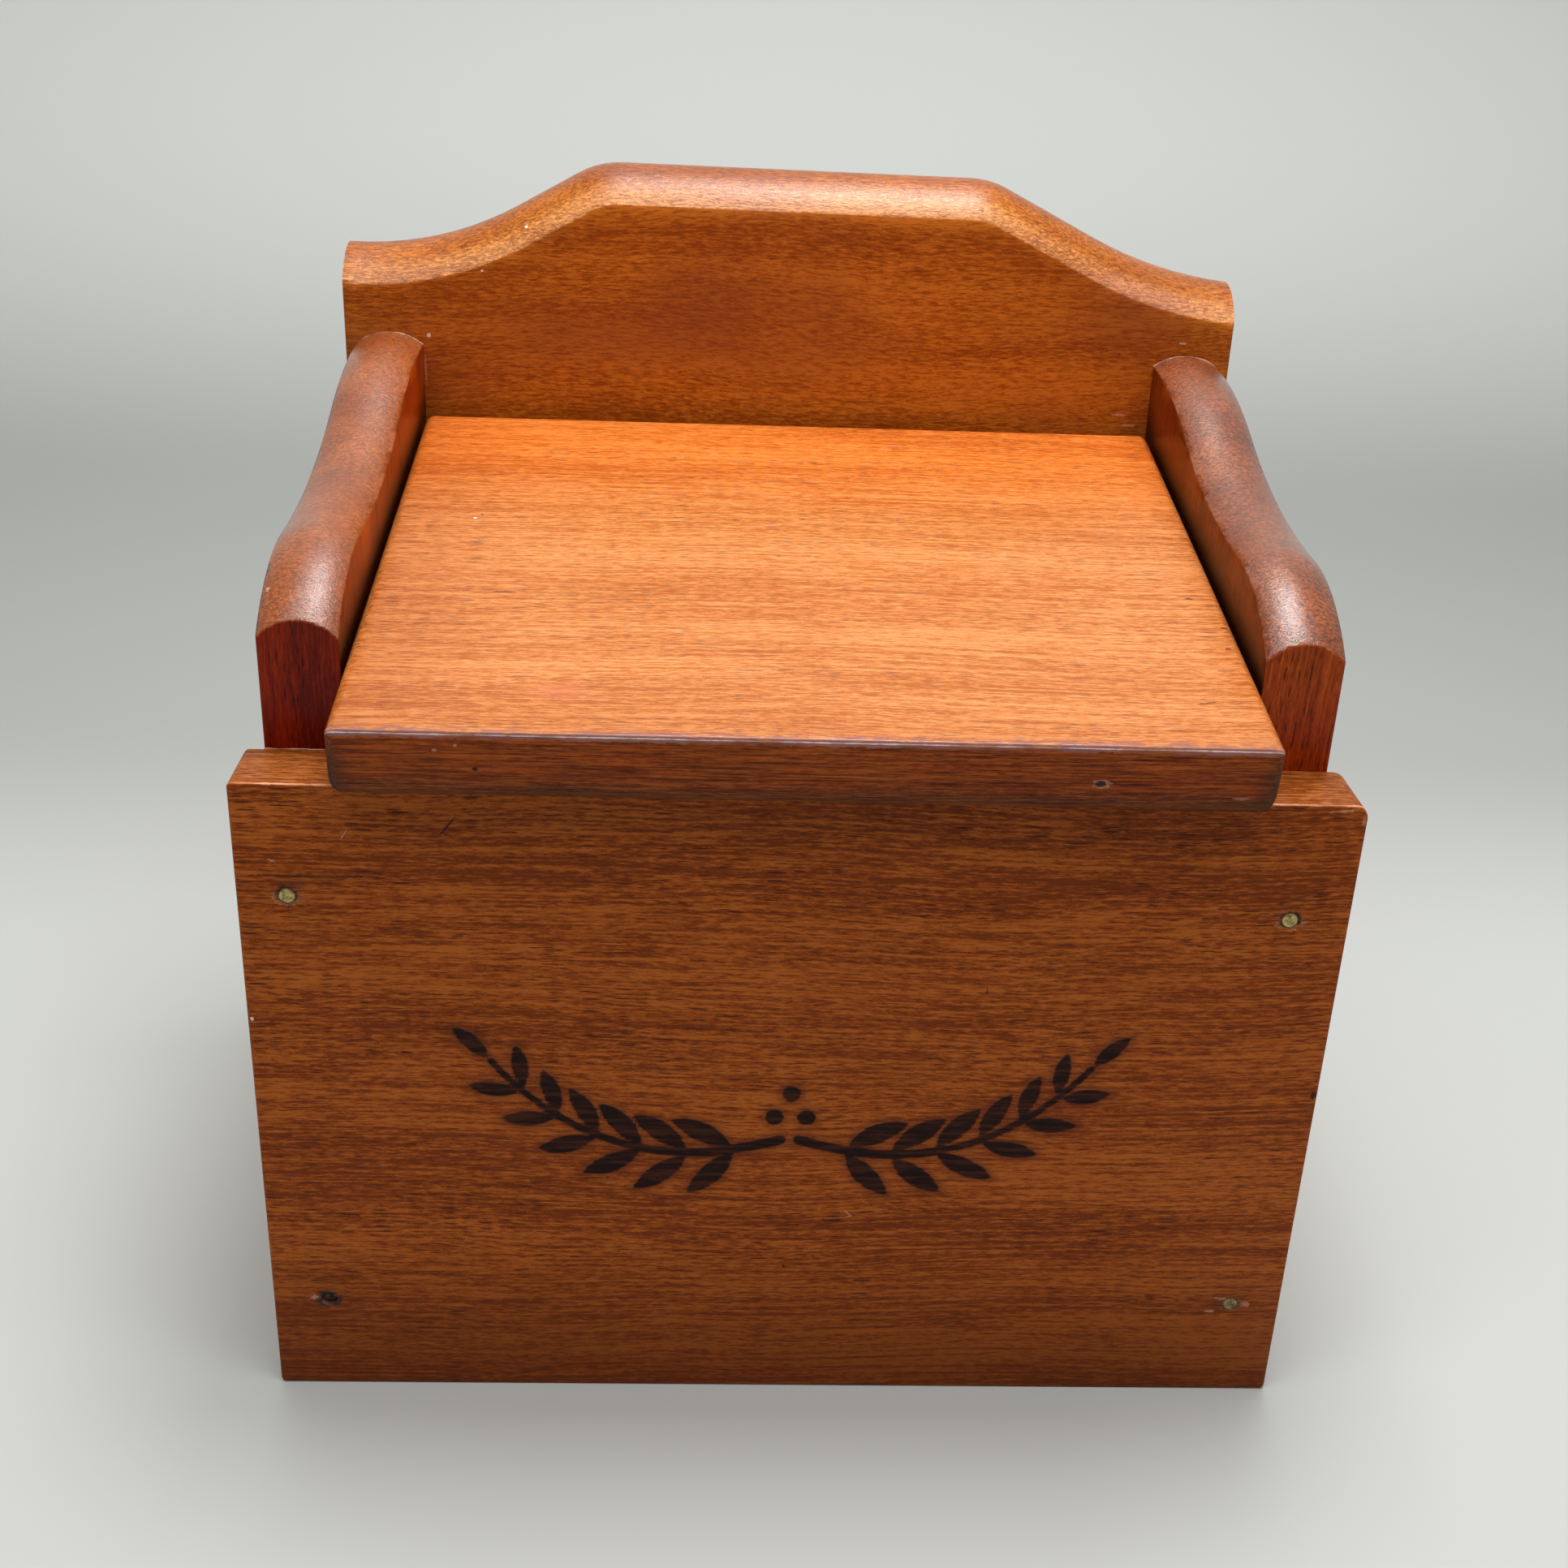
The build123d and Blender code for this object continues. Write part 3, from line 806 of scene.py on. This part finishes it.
saw_patch(shop, at_arris, [((1, 0, 0), spread(lid_low.x, lid_high.x, 0.6 * MM)[1:-1])])
finish = stained_wood(
    "stained_lid", WITH_LID, 2.0,
    # The lid's tones are paler and pinker than its stain alone: partly a painted sheen.
    ((0.37, 0.092, 0.014), (0.52, 0.168, 0.038), (0.63, 0.250, 0.080)), wear=(0.6, 1.0),
    pore_depth=0.6, gloss=0.36, sheen=0.15, shares=(0.16, 0.34, 0.50), contrast=1.35,
    # The lid's rubbed colour is paler than bare wood: rubbed wood with a painted highlight.
    rubbed=(0.75, 0.42, 0.34), marks=LID_MARKS, extras=used_lid,
)
finish_board(shop, "lid_worked", near, "lid", "lid", finish, {"rub": rubbed_arris}, wear_down)

# %% [markdown]
# ## A sprig to burn into the front
# An ornament is burnt with a hot iron: the wood turns nearly black, sinks a little and gets a
# brown halo. This one is two mirrored laurel branches. A leaf is drawn as the iron would draw it,
# as a row of round spots along its rib that grow and shrink again. Geometry Nodes set the leaves
# along the stem in pairs, so that their number, size and angle stay plain inputs.

# %% Geometry Nodes: the sprig
sprig_tree, given, give = new_group(
    "laurel_sprig",
    {"Half Length": (FLOAT, 54.0), "Sag": (FLOAT, 14.0), "Tip Rise": (FLOAT, 9.0),
     "Leaf Pairs": (COUNT, 7), "Leaf Length": (FLOAT, 10.5), "Leaf Width": (FLOAT, 3.5),
     "Leaf Angle": (FLOAT, 0.76), "Stem Width": (FLOAT, 1.5), "Berry Width": (FLOAT, 2.9)},
    {"Geometry": GEOMETRY}, "GeometryNodeTree",
)
STEM_SPOTS, LEAF_SPOTS = 260, 44


def grown(kind, values=None, output=0, **settings):
    """Add a node to the sprig's tree, and return one of its outputs."""
    return wire(sprig_tree, kind, values, output, **settings)


def vector(**parts):
    return grown("ShaderNodeCombineXYZ", parts)


def keep(geometry, label, value):
    """Store a value on the points under a name."""
    values = {"Geometry": geometry, "Name": label, "Value": value}
    return grown("GeometryNodeStoreNamedAttribute", values, data_type="FLOAT")


def drawn(geometry, half_width):
    """Spots of this half width, which don't shrink towards the tip."""
    return keep(keep(geometry, "half_width", half_width), "leaf_scale", 1.0)


def joined(*parts):
    join = add_node(sprig_tree, "GeometryNodeJoinGeometry")
    for part in parts:
        sprig_tree.links.new(part.socket, join.inputs[0])
    return Wire(join.outputs[0])


index = grown("GeometryNodeInputIndex")
stem = grown("GeometryNodeCurveQuadraticBezier", {
    "Start": vector(X=1.5, Y=given["Sag"] * -0.35),
    "Middle": vector(X=given["Half Length"] * 0.5, Y=given["Sag"] * -1.0),
    "End": vector(X=given["Half Length"] - given["Leaf Length"], Y=given["Tip Rise"]),
    "Resolution": 64,
})
# The stem itself: close spots that get smaller towards the tip.
values = {"Curve": stem, "Count": STEM_SPOTS}
spots = grown("GeometryNodeCurveToPoints", values, "Points", mode="COUNT")
spots = grown("GeometryNodePointsToVertices", {"Points": spots})
stem_share = index / (STEM_SPOTS - 1.0)
stem_drawn = drawn(spots, given["Stem Width"] * stem_share.ramp(0.0, 1.0, 0.6, 0.36))

# One leaf: spots along its rib, which bends a little.
rib = grown("GeometryNodeMeshLine", {"Count": LEAF_SPOTS, "Offset": (0.0, 0.0, 0.0)})
share = index / (LEAF_SPOTS - 1.0)
swell = share.math("SINE", share * math.pi) ** 0.85
leaf = keep(rib, "half_width", swell * given["Leaf Width"] * 0.5)
rib_place = vector(X=share * given["Leaf Length"] + 0.9, Y=share ** 2.0 * -1.1)
leaf = grown("GeometryNodeSetPosition", {"Geometry": leaf, "Position": rib_place})
pair = []
for side in (1.0, -1.0):
    turn = vector(Z=given["Leaf Angle"] * side)
    flipped = grown("GeometryNodeTransform", {"Geometry": leaf, "Scale": (1.0, side, 1.0)})
    pair.append(grown("GeometryNodeTransform", {"Geometry": flipped, "Rotation": turn}))

values = {"Curve": stem, "Count": given["Leaf Pairs"] + 1.0}
joints = add_node(sprig_tree, "GeometryNodeCurveToPoints", values, mode="COUNT").outputs
joint_share = index / given["Leaf Pairs"]
leaf_scale = joint_share.ramp(0.2, 1.0, 1.0, 0.72)
along_stem = {"Vector": Wire(joints["Tangent"])}
along_stem = grown("FunctionNodeAlignRotationToVector", along_stem, axis="X")
not_first = index.math("GREATER_THAN", index, 0.5)
is_tip = index.math("GREATER_THAN", joint_share, 0.999)
at_joints = {"Points": keep(Wire(joints["Points"]), "leaf_scale", leaf_scale),
             "Rotation": along_stem, "Scale": leaf_scale}
on_pairs = {**at_joints, "Selection": not_first - is_tip, "Instance": joined(*pair)}
on_tip = {**at_joints, "Selection": is_tip, "Instance": leaf}
pairs, tip = (grown("GeometryNodeInstanceOnPoints", values) for values in (on_pairs, on_tip))
branch = joined(stem_drawn, pairs, tip)
mirrored = grown("GeometryNodeTransform", {"Geometry": branch, "Scale": (-1.0, 1.0, 1.0)})
berries = grown("GeometryNodeMeshCircle", {"Vertices": 3, "Radius": given["Berry Width"]})
raised = grown("GeometryNodeTransform", {
    "Geometry": drawn(berries, given["Berry Width"] * 0.5),
    "Rotation": (0.0, 0.0, math.pi / 2), "Translation": (0.0, 0.8, 0.0),
})
whole = joined(branch, mirrored, raised)
give(Geometry=grown("GeometryNodeRealizeInstances", {"Geometry": whole}))

# %% [markdown]
# ## The front board
# The front is the plainest and most looked-at board. Its surface is sawn finely where the sprig
# goes, each point gets its distance to the burnt lines, and points inside them sink by a tenth of
# a millimetre.

# %% Front board
front_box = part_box("front_board")
FRONT_FACE, FRONT_TOP = front_box[0].y / MM, front_box[1].z / MM
SPRIG_HEIGHT = 55.0  # over the table
SPRIG_REACH, SPRIG_RISE = 59, 19  # half the size of the part that is sawn finely
BURN_DEPTH, BURN_SLOPE = 0.12, 0.4
FAR_OFF = 9.0  # the distance given to points that can't be near a burnt line
sprig = grow(sprig_tree, "sprig", {"Half Length": 57.0})
spots = np.array([vertex.co for vertex in sprig.vertices])[:, :2]
half_widths, leaf_scales = np.zeros((2, len(spots)), dtype=np.float32)
sprig.attributes["half_width"].data.foreach_get("value", half_widths)
sprig.attributes["leaf_scale"].data.foreach_get("value", leaf_scales)
half_widths = half_widths * leaf_scales
print(f"sprig: {len(spots)} spots, {np.ptp(spots[:, 0]):.0f} x {np.ptp(spots[:, 1]):.0f} mm")


def to_burn(points):
    """Distance to the burnt lines, negative inside them, on the front face only."""
    distance = np.full(len(points), FAR_OFF)
    flat = points[:, [0, 2]] - np.array([0, SPRIG_HEIGHT])
    zone = (abs(flat[:, 0]) < SPRIG_REACH + 3) & (abs(flat[:, 1]) < SPRIG_RISE + 6)
    zone &= points[:, 1] < FRONT_FACE + 0.5
    for chosen in np.array_split(np.flatnonzero(zone), 40):
        gaps = np.linalg.norm(flat[chosen][:, None, :] - spots[None], axis=2) - half_widths
        distance[chosen] = gaps.min(axis=1)
    return distance


def sink_burn(points, values):
    """Sink the burnt lines a little."""
    sunk = points.copy()
    sunk[:, 1] += BURN_DEPTH * np.clip(-values["to_burn"] / BURN_SLOPE, 0, 1)
    return sunk


def rubbed_front(points):
    """Hands rub the top front arris of the front board, and little else."""
    near_top = (points[:, 2] > FRONT_TOP - 1.2) & (points[:, 1] < FRONT_FACE + 1.2)
    return np.where(near_top, 0.8, 0.25)


def burnt_front(skin):
    """A painted shade towards the foot, a greyer top face, and the burnt lines with a brown halo
    round them.
    """
    _, y, z = split(skin.place)
    # Painted shade: the face darkens towards the table.
    skin.paint(z.ramp(34.0, 2.0, 0.0, 0.55), (0.12, 0.022, 0.002))
    behind, below = y - FRONT_FACE, FRONT_TOP - z
    skin.tint(below.ramp(0.4, 0.1) * behind.ramp(0.3, 0.7), (0.80, 1.0, 2.2))
    skin.paint(arris_line(skin, behind, below, 0.30), (0.72, 0.36, 0.20))
    mottle = skin.noise((0.12, 1.5, 1.5), 3.0, 0.6)
    distance = attribute_of(skin.tree, "to_burn") + (mottle - 0.5) * 0.7
    burnt = distance.ramp(0.22, -0.22)
    skin.paint(distance.ramp(1.8, 0.0, 0.0, 0.5), (0.11, 0.020, 0.004))
    skin.paint(burnt, mix(mottle.ramp(0.42, 0.66), SCORCHED, (0.055, 0.012, 0.005)))
    skin.roughness = skin.roughness + burnt * 0.12


def on_front(x, z):
    return (x, FRONT_FACE, z)


def nail_place(end):
    low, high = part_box(f"front_nail_{end}")
    return ((low.x + high.x) / 2 / MM, (low.z + high.z) / 2 / MM)


CORNER_CHIP = (0.66, 0.32, 0.19)
FRONT_MARKS = [
    (on_front(-51.7, 104.2), (2.4, 1.0, 0.20), 0.5, DARK, 0.8, 1.0, (0, 0.9, 0)),
    (on_front(-71.0, 95.6), (13.0, 1.0, 0.22), 0.35, DARK, 0.75, 0.8),
    (on_front(82.3, 59.8), (0.6, 1.5, 0.8), 0.5, DARK, 0.9, 1.0),
    (on_front(-82.3, 71.0), (0.35, 1.0, 0.35), 0.3, DUST, 0.8, 0),
    (on_front(-66.7, 102.5), (1.1, 1.0, 0.11), 0.4, PALE, 0.55, 0, (0, 1.0, 0)),
    (on_front(-77.5, 98.1), (0.8, 1.0, 0.12), 0.5, PALE, 0.6, 0, (0, -0.5, 0)),
    (on_front(-77.3, 98.0), (0.6, 1.0, 0.12), 0.5, PALE, 0.5, 0, (0, 0.7, 0)),
    (on_front(10.0, 35.9), (0.9, 1.0, 0.14), 0.6, PALE, 0.5, 0, (0, -0.8, 0)),
    (on_front(10.2, 35.3), (0.6, 1.0, 0.14), 0.6, PALE, 0.4, 0, (0, 0.3, 0)),
    (on_front(0.0, 25.2), (0.30, 1.0, 0.30), 0.3, DARK, 0.9, 1.0),
    (on_front(29.1, 78.0), (0.16, 1.0, 0.8), 0.3, DARK, 0.6, 0.5),
    (on_front(79.6, 109.6), (2.2, 1.0, 0.22), 0.9, CORNER_CHIP, 0.5, 0.3, (0, 0.12, 0)),
    (on_front(82.4, 108.0), (0.3, 1.2, 0.9), 1.0, CORNER_CHIP, 0.45, 0.3),
]
for end in ("upper_left", "upper_right"):
    x, z = nail_place(end)
    FRONT_MARKS += [
        (on_front(x, z - 0.2), (2.3, 1.2, 1.5), 0.8, PALE, 0.35, 0.3),
        (on_front(x, z + 0.1), (1.95, 1.2, 1.75), 0.3, SCORCHED, 0.9, 1.0),
    ]
x, z = nail_place("lower_left")
FRONT_MARKS += [
    (on_front(x - 2.2, z + 0.3), (1.2, 1.2, 0.5), 0.8, PALE, 0.6, 0.3),
    (on_front(x, z), (2.3, 1.2, 1.9), 0.5, (0.035, 0.024, 0.024), 0.95, 2.0),
]
x, z = nail_place("lower_right")
FRONT_MARKS += [
    (on_front(x - 0.5, z + 1.0), (2.8, 1.2, 0.30), 0.8, PALE, 0.6, 0.5, (0, -0.12, 0)),
    (on_front(x + 2.3, z), (1.0, 1.2, 0.6), 0.8, PALE, 0.5, 0.5),
    (on_front(x - 3.2, z - 1.5), (1.1, 1.2, 0.25), 0.8, PALE, 0.5, 0.3),
    (on_front(x, z), (2.1, 1.2, 1.6), 0.6, (0.13, 0.055, 0.030), 0.85, 1.0),
]

shop, near = bench_copy("front_board")
saw_evenly(shop, front_box, 2.5 * MM, "zx")


def in_sprig(middle):
    """Whether a face belongs to the part of the front that the sprig takes up."""
    across, over = abs(middle.x) / MM, abs(middle.z / MM - SPRIG_HEIGHT)
    at_face = middle.y / MM < FRONT_FACE + 0.1
    return at_face and across < SPRIG_REACH + 1 and over < SPRIG_RISE + 1


saw_patch(shop, in_sprig, [
    ((1, 0, 0), spread(-SPRIG_REACH * MM, SPRIG_REACH * MM, 0.5 * MM)),
    ((0, 0, 1), spread((SPRIG_HEIGHT - SPRIG_RISE) * MM, (SPRIG_HEIGHT + SPRIG_RISE) * MM,
                       0.5 * MM)),
])
finish = stained_wood(
    "stained_front", ALONG_X, 5.0,
    ((0.175, 0.029, 0.001), (0.31, 0.061, 0.004), (0.44, 0.110, 0.012)), wear=(0.5, 1.0),
    pore_depth=0.80, gloss=0.45, sheen=0.12, coat=0.0, contrast=1.6, shares=(0.18, 0.38, 0.44),
    rubbed=(0.62, 0.30, 0.17), marks=FRONT_MARKS, extras=burnt_front,
)
finish_board(shop, "front_board_worked", near, "front_board", "box", finish,
             {"to_burn": to_burn, "rub": rubbed_front}, sink_burn)

# %% [markdown]
# ## Nails and pivot pins
# A nail is turned wire with an upset head, so one section, turned round its axis, gives it. The
# same nail is used twelve times. Geometry Nodes set it at each place, facing out of the board it
# was driven into. Brass that lay under lacquer for years is dull and a little green. Of the two
# lower front nails, the left one went almost black and the right one olive.

# %% A turned nail
NAIL_LENGTH, HEAD_RADIUS, WIRE_RADIUS = 32.0, 1.29, 0.86
NAIL_SECTION = [  # radius, depth under the face
    (0.0, 0.16), (0.30, 0.14), (0.44, 0.03), (0.95, 0.0), (1.16, 0.05), (HEAD_RADIUS, 0.22),
    (HEAD_RADIUS, 0.98), (WIRE_RADIUS, 1.05), (WIRE_RADIUS, NAIL_LENGTH - 2.6),
    (0.0, NAIL_LENGTH - 0.1),
]


def turned(name, section, steps=20):
    """A closed mesh turned from a section round Z, with its face at the origin, looking up."""
    rings, points, faces = [], [], []
    for radius, depth in section:
        count = steps if radius else 1
        rings.append(range(len(points), len(points) + count))
        for step in range(count):
            angle = 2 * math.pi * step / steps
            points.append((radius * math.cos(angle), radius * math.sin(angle), -depth))
    for upper, lower in zip(rings, rings[1:]):
        for step in range(steps):
            following = (step + 1) % steps
            corners = [upper[step % len(upper)], lower[step % len(lower)],
                       lower[following % len(lower)], upper[following % len(upper)]]
            faces.append(list(dict.fromkeys(corners)))
    mesh = bpy.data.meshes.new(name)
    mesh.from_pydata([Vector(point) * MM for point in points], [], faces)
    mesh.polygons.foreach_set("use_smooth", [True] * len(faces))
    return mesh


nail_pattern = bpy.data.objects.new("nail_pattern", turned("nail_pattern", NAIL_SECTION))

# %% Geometry Nodes: set the nails
nail_tree, given, give = new_group(
    "driven_nails",
    {"Places": (GEOMETRY, None), "Pattern": (OBJECT, None), "Finish": (MATERIAL, None)},
    {"Geometry": GEOMETRY}, "GeometryNodeTree",
)
pattern = wire(nail_tree, "GeometryNodeObjectInfo", {"Object": given["Pattern"]}, "Geometry")
facing = wire(nail_tree, "GeometryNodeInputNamedAttribute", {"Name": "facing"},
              data_type="FLOAT_VECTOR")
outward = wire(nail_tree, "FunctionNodeAlignRotationToVector", {"Vector": facing}, axis="Z")
values = {"Points": given["Places"], "Instance": pattern, "Rotation": outward}
driven = wire(nail_tree, "GeometryNodeInstanceOnPoints", values)
give(Geometry=dressed(driven, given["Finish"]))


# %% Dull, blackened and olive brass
def old_metal(name, clean, tarnished, low, high, roughness):
    """Metal with tarnish in clouds, which begins at low and is full at high."""
    material, tree, shader = new_material(name)
    place = place_in_mm(tree)
    grains = noise(place, (5.0, 5.0, 5.0), 2.0, 0.6)
    clouds = noise(place, (1.2, 1.2, 1.2), 4.0, 0.65) * 0.65 + grains * 0.35
    tarnish = clouds.ramp(low, high)
    bump = {"Strength": 0.6, "Distance": 0.06 * MM, "Height": grains}
    fill(shader, {
        "Base Color": mix(tarnish, clean, tarnished), "Roughness": tarnish * 0.25 + roughness,
        "Normal": wire(tree, "ShaderNodeBump", bump), "Metallic": 0.8,
    })
    return material


dull_brass = old_metal("dull_brass", (0.56, 0.44, 0.17), (0.22, 0.155, 0.050), 0.42, 0.62, 0.36)
black_brass = old_metal("blackened_brass", (0.16, 0.12, 0.09), (0.04, 0.033, 0.033), 0.36, 0.56, 0.5)
olive_brass = old_metal("olive_brass", (0.36, 0.25, 0.11), (0.11, 0.07, 0.035), 0.42, 0.64, 0.5)

# %% Drive the nails
OUTWARD = {
    "front": Vector((0, -1, 0)), "back": Vector((0, 1, 0)),
    "left": Vector((-1, 0, 0)), "right": Vector((1, 0, 0)),
}


def way_out(node_name):
    """Where a nail's head faces: the bottom board's nails come in through the sides."""
    board, *_, side = node_name.split("_")
    return OUTWARD[side if board == "bottom" else board]


def drive_nails(name, node_names, finish):
    """One mesh of nails for the nodes they stand for."""
    heads, directions = [], []
    for node_name in node_names:
        low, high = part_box(node_name)
        direction = way_out(node_name)
        heads.append((low + high) / 2 + direction * abs(((high - low) / 2).dot(direction)))
        directions.append(direction)
    places = bpy.data.meshes.new(name)
    places.from_pydata(heads, [], [])
    attribute = places.attributes.new("facing", "FLOAT_VECTOR", "POINT")
    attribute.data.foreach_set("vector", [value for way in directions for value in way])
    mesh = grow(nail_tree, name, {"Pattern": nail_pattern, "Finish": finish}, places)
    mesh.set_sharp_from_angle(angle=NAIL_SMOOTH_TO)
    place_piece(name, mesh, "box", node_names)
    print(f"{name}: {len(node_names)} nails, {len(mesh.polygons)} faces")


SUNK, TORN = "front_nail_lower_left", "front_nail_lower_right"
drive_nails("sunk_nail", [SUNK], black_brass)
drive_nails("torn_out_nail", [TORN], olive_brass)
bright_nails = sorted(name for name in nodes if "_nail_" in name and name not in (SUNK, TORN))
drive_nails("brass_nails", bright_nails, dull_brass)
for side in ("left", "right"):
    for slot in nodes[f"{side}_pivot_pin"].material_slots:
        slot.material = dull_brass

# %% [markdown]
# ## Beads of lacquer
# Where two boards meet, lacquer and glue gathered in the corner and dried as a thin bead, which
# shows as a pale line. It follows the boards, so its path is read from their corners: a polyline
# that Geometry Nodes turn into a thin, slightly uneven tube. Only a part of the tube looks out
# of the wood.

# %% Geometry Nodes: beads
bead_tree, given, give = new_group(
    "lacquer_bead",
    {"Path": (GEOMETRY, None), "Radius": (FLOAT, 0.2 * MM), "Step": (FLOAT, 0.8 * MM),
     "Finish": (MATERIAL, None)},
    {"Geometry": GEOMETRY}, "GeometryNodeTree",
)
line = wire(bead_tree, "GeometryNodeMeshToCurve", {"Mesh": given["Path"]})
values = {"Curve": line, "Length": given["Step"]}
even = wire(bead_tree, "GeometryNodeResampleCurve", values, mode="LENGTH")
where = wire(bead_tree, "GeometryNodeInputPosition")
thickness = noise(where, (220.0,) * 3).ramp(0.35, 0.65, 0.35, 1.25)
values = {"Resolution": 8, "Radius": given["Radius"]}
ring = wire(bead_tree, "GeometryNodeCurvePrimitiveCircle", values)
values = {"Curve": even, "Profile Curve": ring, "Scale": thickness, "Fill Caps": True}
tube = wire(bead_tree, "GeometryNodeCurveToMesh", values)
smooth = wire(bead_tree, "GeometryNodeSetShadeSmooth", {"Geometry": tube})
give(Geometry=dressed(smooth, given["Finish"]))

# %% Run the beads
lacquer, tree, shader = new_material("dried_lacquer")
drops = noise(object_place(tree), (420.0,) * 3, 3.0, 0.6)
fill(shader, {
    "Base Color": mix(drops.ramp(0.40, 0.62), (0.26, 0.07, 0.022), (0.55, 0.25, 0.13)),
    "Roughness": drops.ramp(0.3, 0.7, 0.18, 0.4), "Coat Weight": 0.6,
})

REAR_CORNER_FOOT = 0.135  # the beads down the inner rear corners end at the lid
BEAD_RADIUS = 0.17 * MM
paths = []
for side, sign in (("left", -1), ("right", 1)):
    side_mesh = nodes[f"{side}_side"].data
    corners = {tuple(round(value, 6) for value in vertex.co) for vertex in side_mesh.vertices}
    rear = max(corner[1] for corner in corners)
    rim = [corner for corner in corners if corner[1] > rear - 1e-5]
    top = max(corner[2] for corner in rim)
    over = sorted((corner for corner in rim if corner[2] > top - 0.005),
                  key=lambda corner: -sign * corner[0])
    paths.append([(over[0][0], over[0][1], REAR_CORNER_FOOT), *over])
# One more lies along the foot of the left side's front edge, on top of the front board.
front_foot = front_box[1].z
paths.append([(corner.x, side_box[0].y, front_foot) for corner in side_box])
corners, edges = [], []
for path in paths:
    edges += [(len(corners) + n, len(corners) + n + 1) for n in range(len(path) - 1)]
    corners += path
bead_paths = bpy.data.meshes.new("bead_paths")
bead_paths.from_pydata(corners, edges, [])
beads = grow(bead_tree, "lacquer_beads", {"Finish": lacquer, "Radius": BEAD_RADIUS}, bead_paths)
place_piece("lacquer_beads", beads, "box")
print(f"beads: {len(paths)} runs, {len(beads.polygons)} faces")

# %% [markdown]
# ## Table, backdrop and light
# The box stands on a pale grey sheet that curves up behind it, with painted shade behind the box
# and painted light up the backdrop. A small panel hangs right over the box and gives the rounded
# ends of the sides their bright spots. A wide one hangs more in front and lights the face. A third
# lights the backdrop, and a weak white world fills the shadows.

# %% Sweep, lamps and world
PAPER_GREY = (0.52, 0.53, 0.51)


def grey_sheet(width, front, bend, radius, top):
    """The floor and the backdrop, as one curved sheet, from the front to the top."""
    turns = [math.radians(step) for step in range(0, 91, 6)]
    profile = [(front, 0.0)]
    profile += [(bend + radius * math.sin(a), radius * (1 - math.cos(a))) for a in turns]
    profile += [(bend + radius, top)]
    corners = [(x, y, z) for y, z in profile for x in (-width / 2, width / 2)]
    faces = [(2 * n, 2 * n + 1, 2 * n + 3, 2 * n + 2) for n in range(len(profile) - 1)]
    sheet = bpy.data.meshes.new("grey_sheet")
    sheet.from_pydata(corners, [], faces)
    sheet.polygons.foreach_set("use_smooth", [True] * len(faces))
    return sheet


floor = bpy.data.objects.new("grey_sweep", grey_sheet(3.0, -1.6, 0.42, 0.3, 2.0))
bpy.context.scene.collection.objects.link(floor)
paper, tree, shader = new_material("sweep_paper")
away = split(object_place(tree))[1]
# Painted shade and light on the sheet: darker behind the box, paler up the backdrop.
tone = away.ramp(0.08, 0.22, 0.98, 0.74) * away.ramp(0.46, 0.70, 1.0, 1.85)
shaded = vector_math("SCALE", PAPER_GREY, tone)
fill(shader, {"Base Color": shaded, "Roughness": 0.8, "Specular IOR Level": 0.2})
floor.data.materials.append(paper)

LAMPS = {  # name: (place, aim, width and depth, power in watts)
    "ceiling_panel": ((0.06, 0.03, 0.60), (0.06, 0.03, 0), (0.19, 0.19), 1.6),
    "front_softbox": ((0.0, -0.22, 0.60), (0, 0, 0.1), (0.75, 0.25), 2.3),
    "backdrop_lamp": ((0.0, 0.25, 1.6), (0, 0.75, 0.9), (0.8, 0.8), 12.0),
}
for name, (lamp_place, aim, (width, depth), power) in LAMPS.items():
    lamp_data = bpy.data.lights.new(name, "AREA")
    lamp_data.shape = "RECTANGLE"
    lamp_data.size, lamp_data.size_y = width, depth
    lamp_data.energy = power
    lamp = bpy.data.objects.new(name, lamp_data)
    lamp.location = lamp_place
    lamp.rotation_euler = (Vector(aim) - Vector(lamp_place)).to_track_quat("-Z", "Y").to_euler()
    bpy.context.scene.collection.objects.link(lamp)

world = bpy.data.worlds.new("soft_room")
bpy.context.scene.world = world
world.use_nodes = True
fill(world.node_tree.nodes["Background"], {"Color": (1, 1, 1, 1), "Strength": 0.22})
bpy.context.scene.view_settings.view_transform = "Standard"
print(f"stage: one sheet and {len(LAMPS)} lamps")
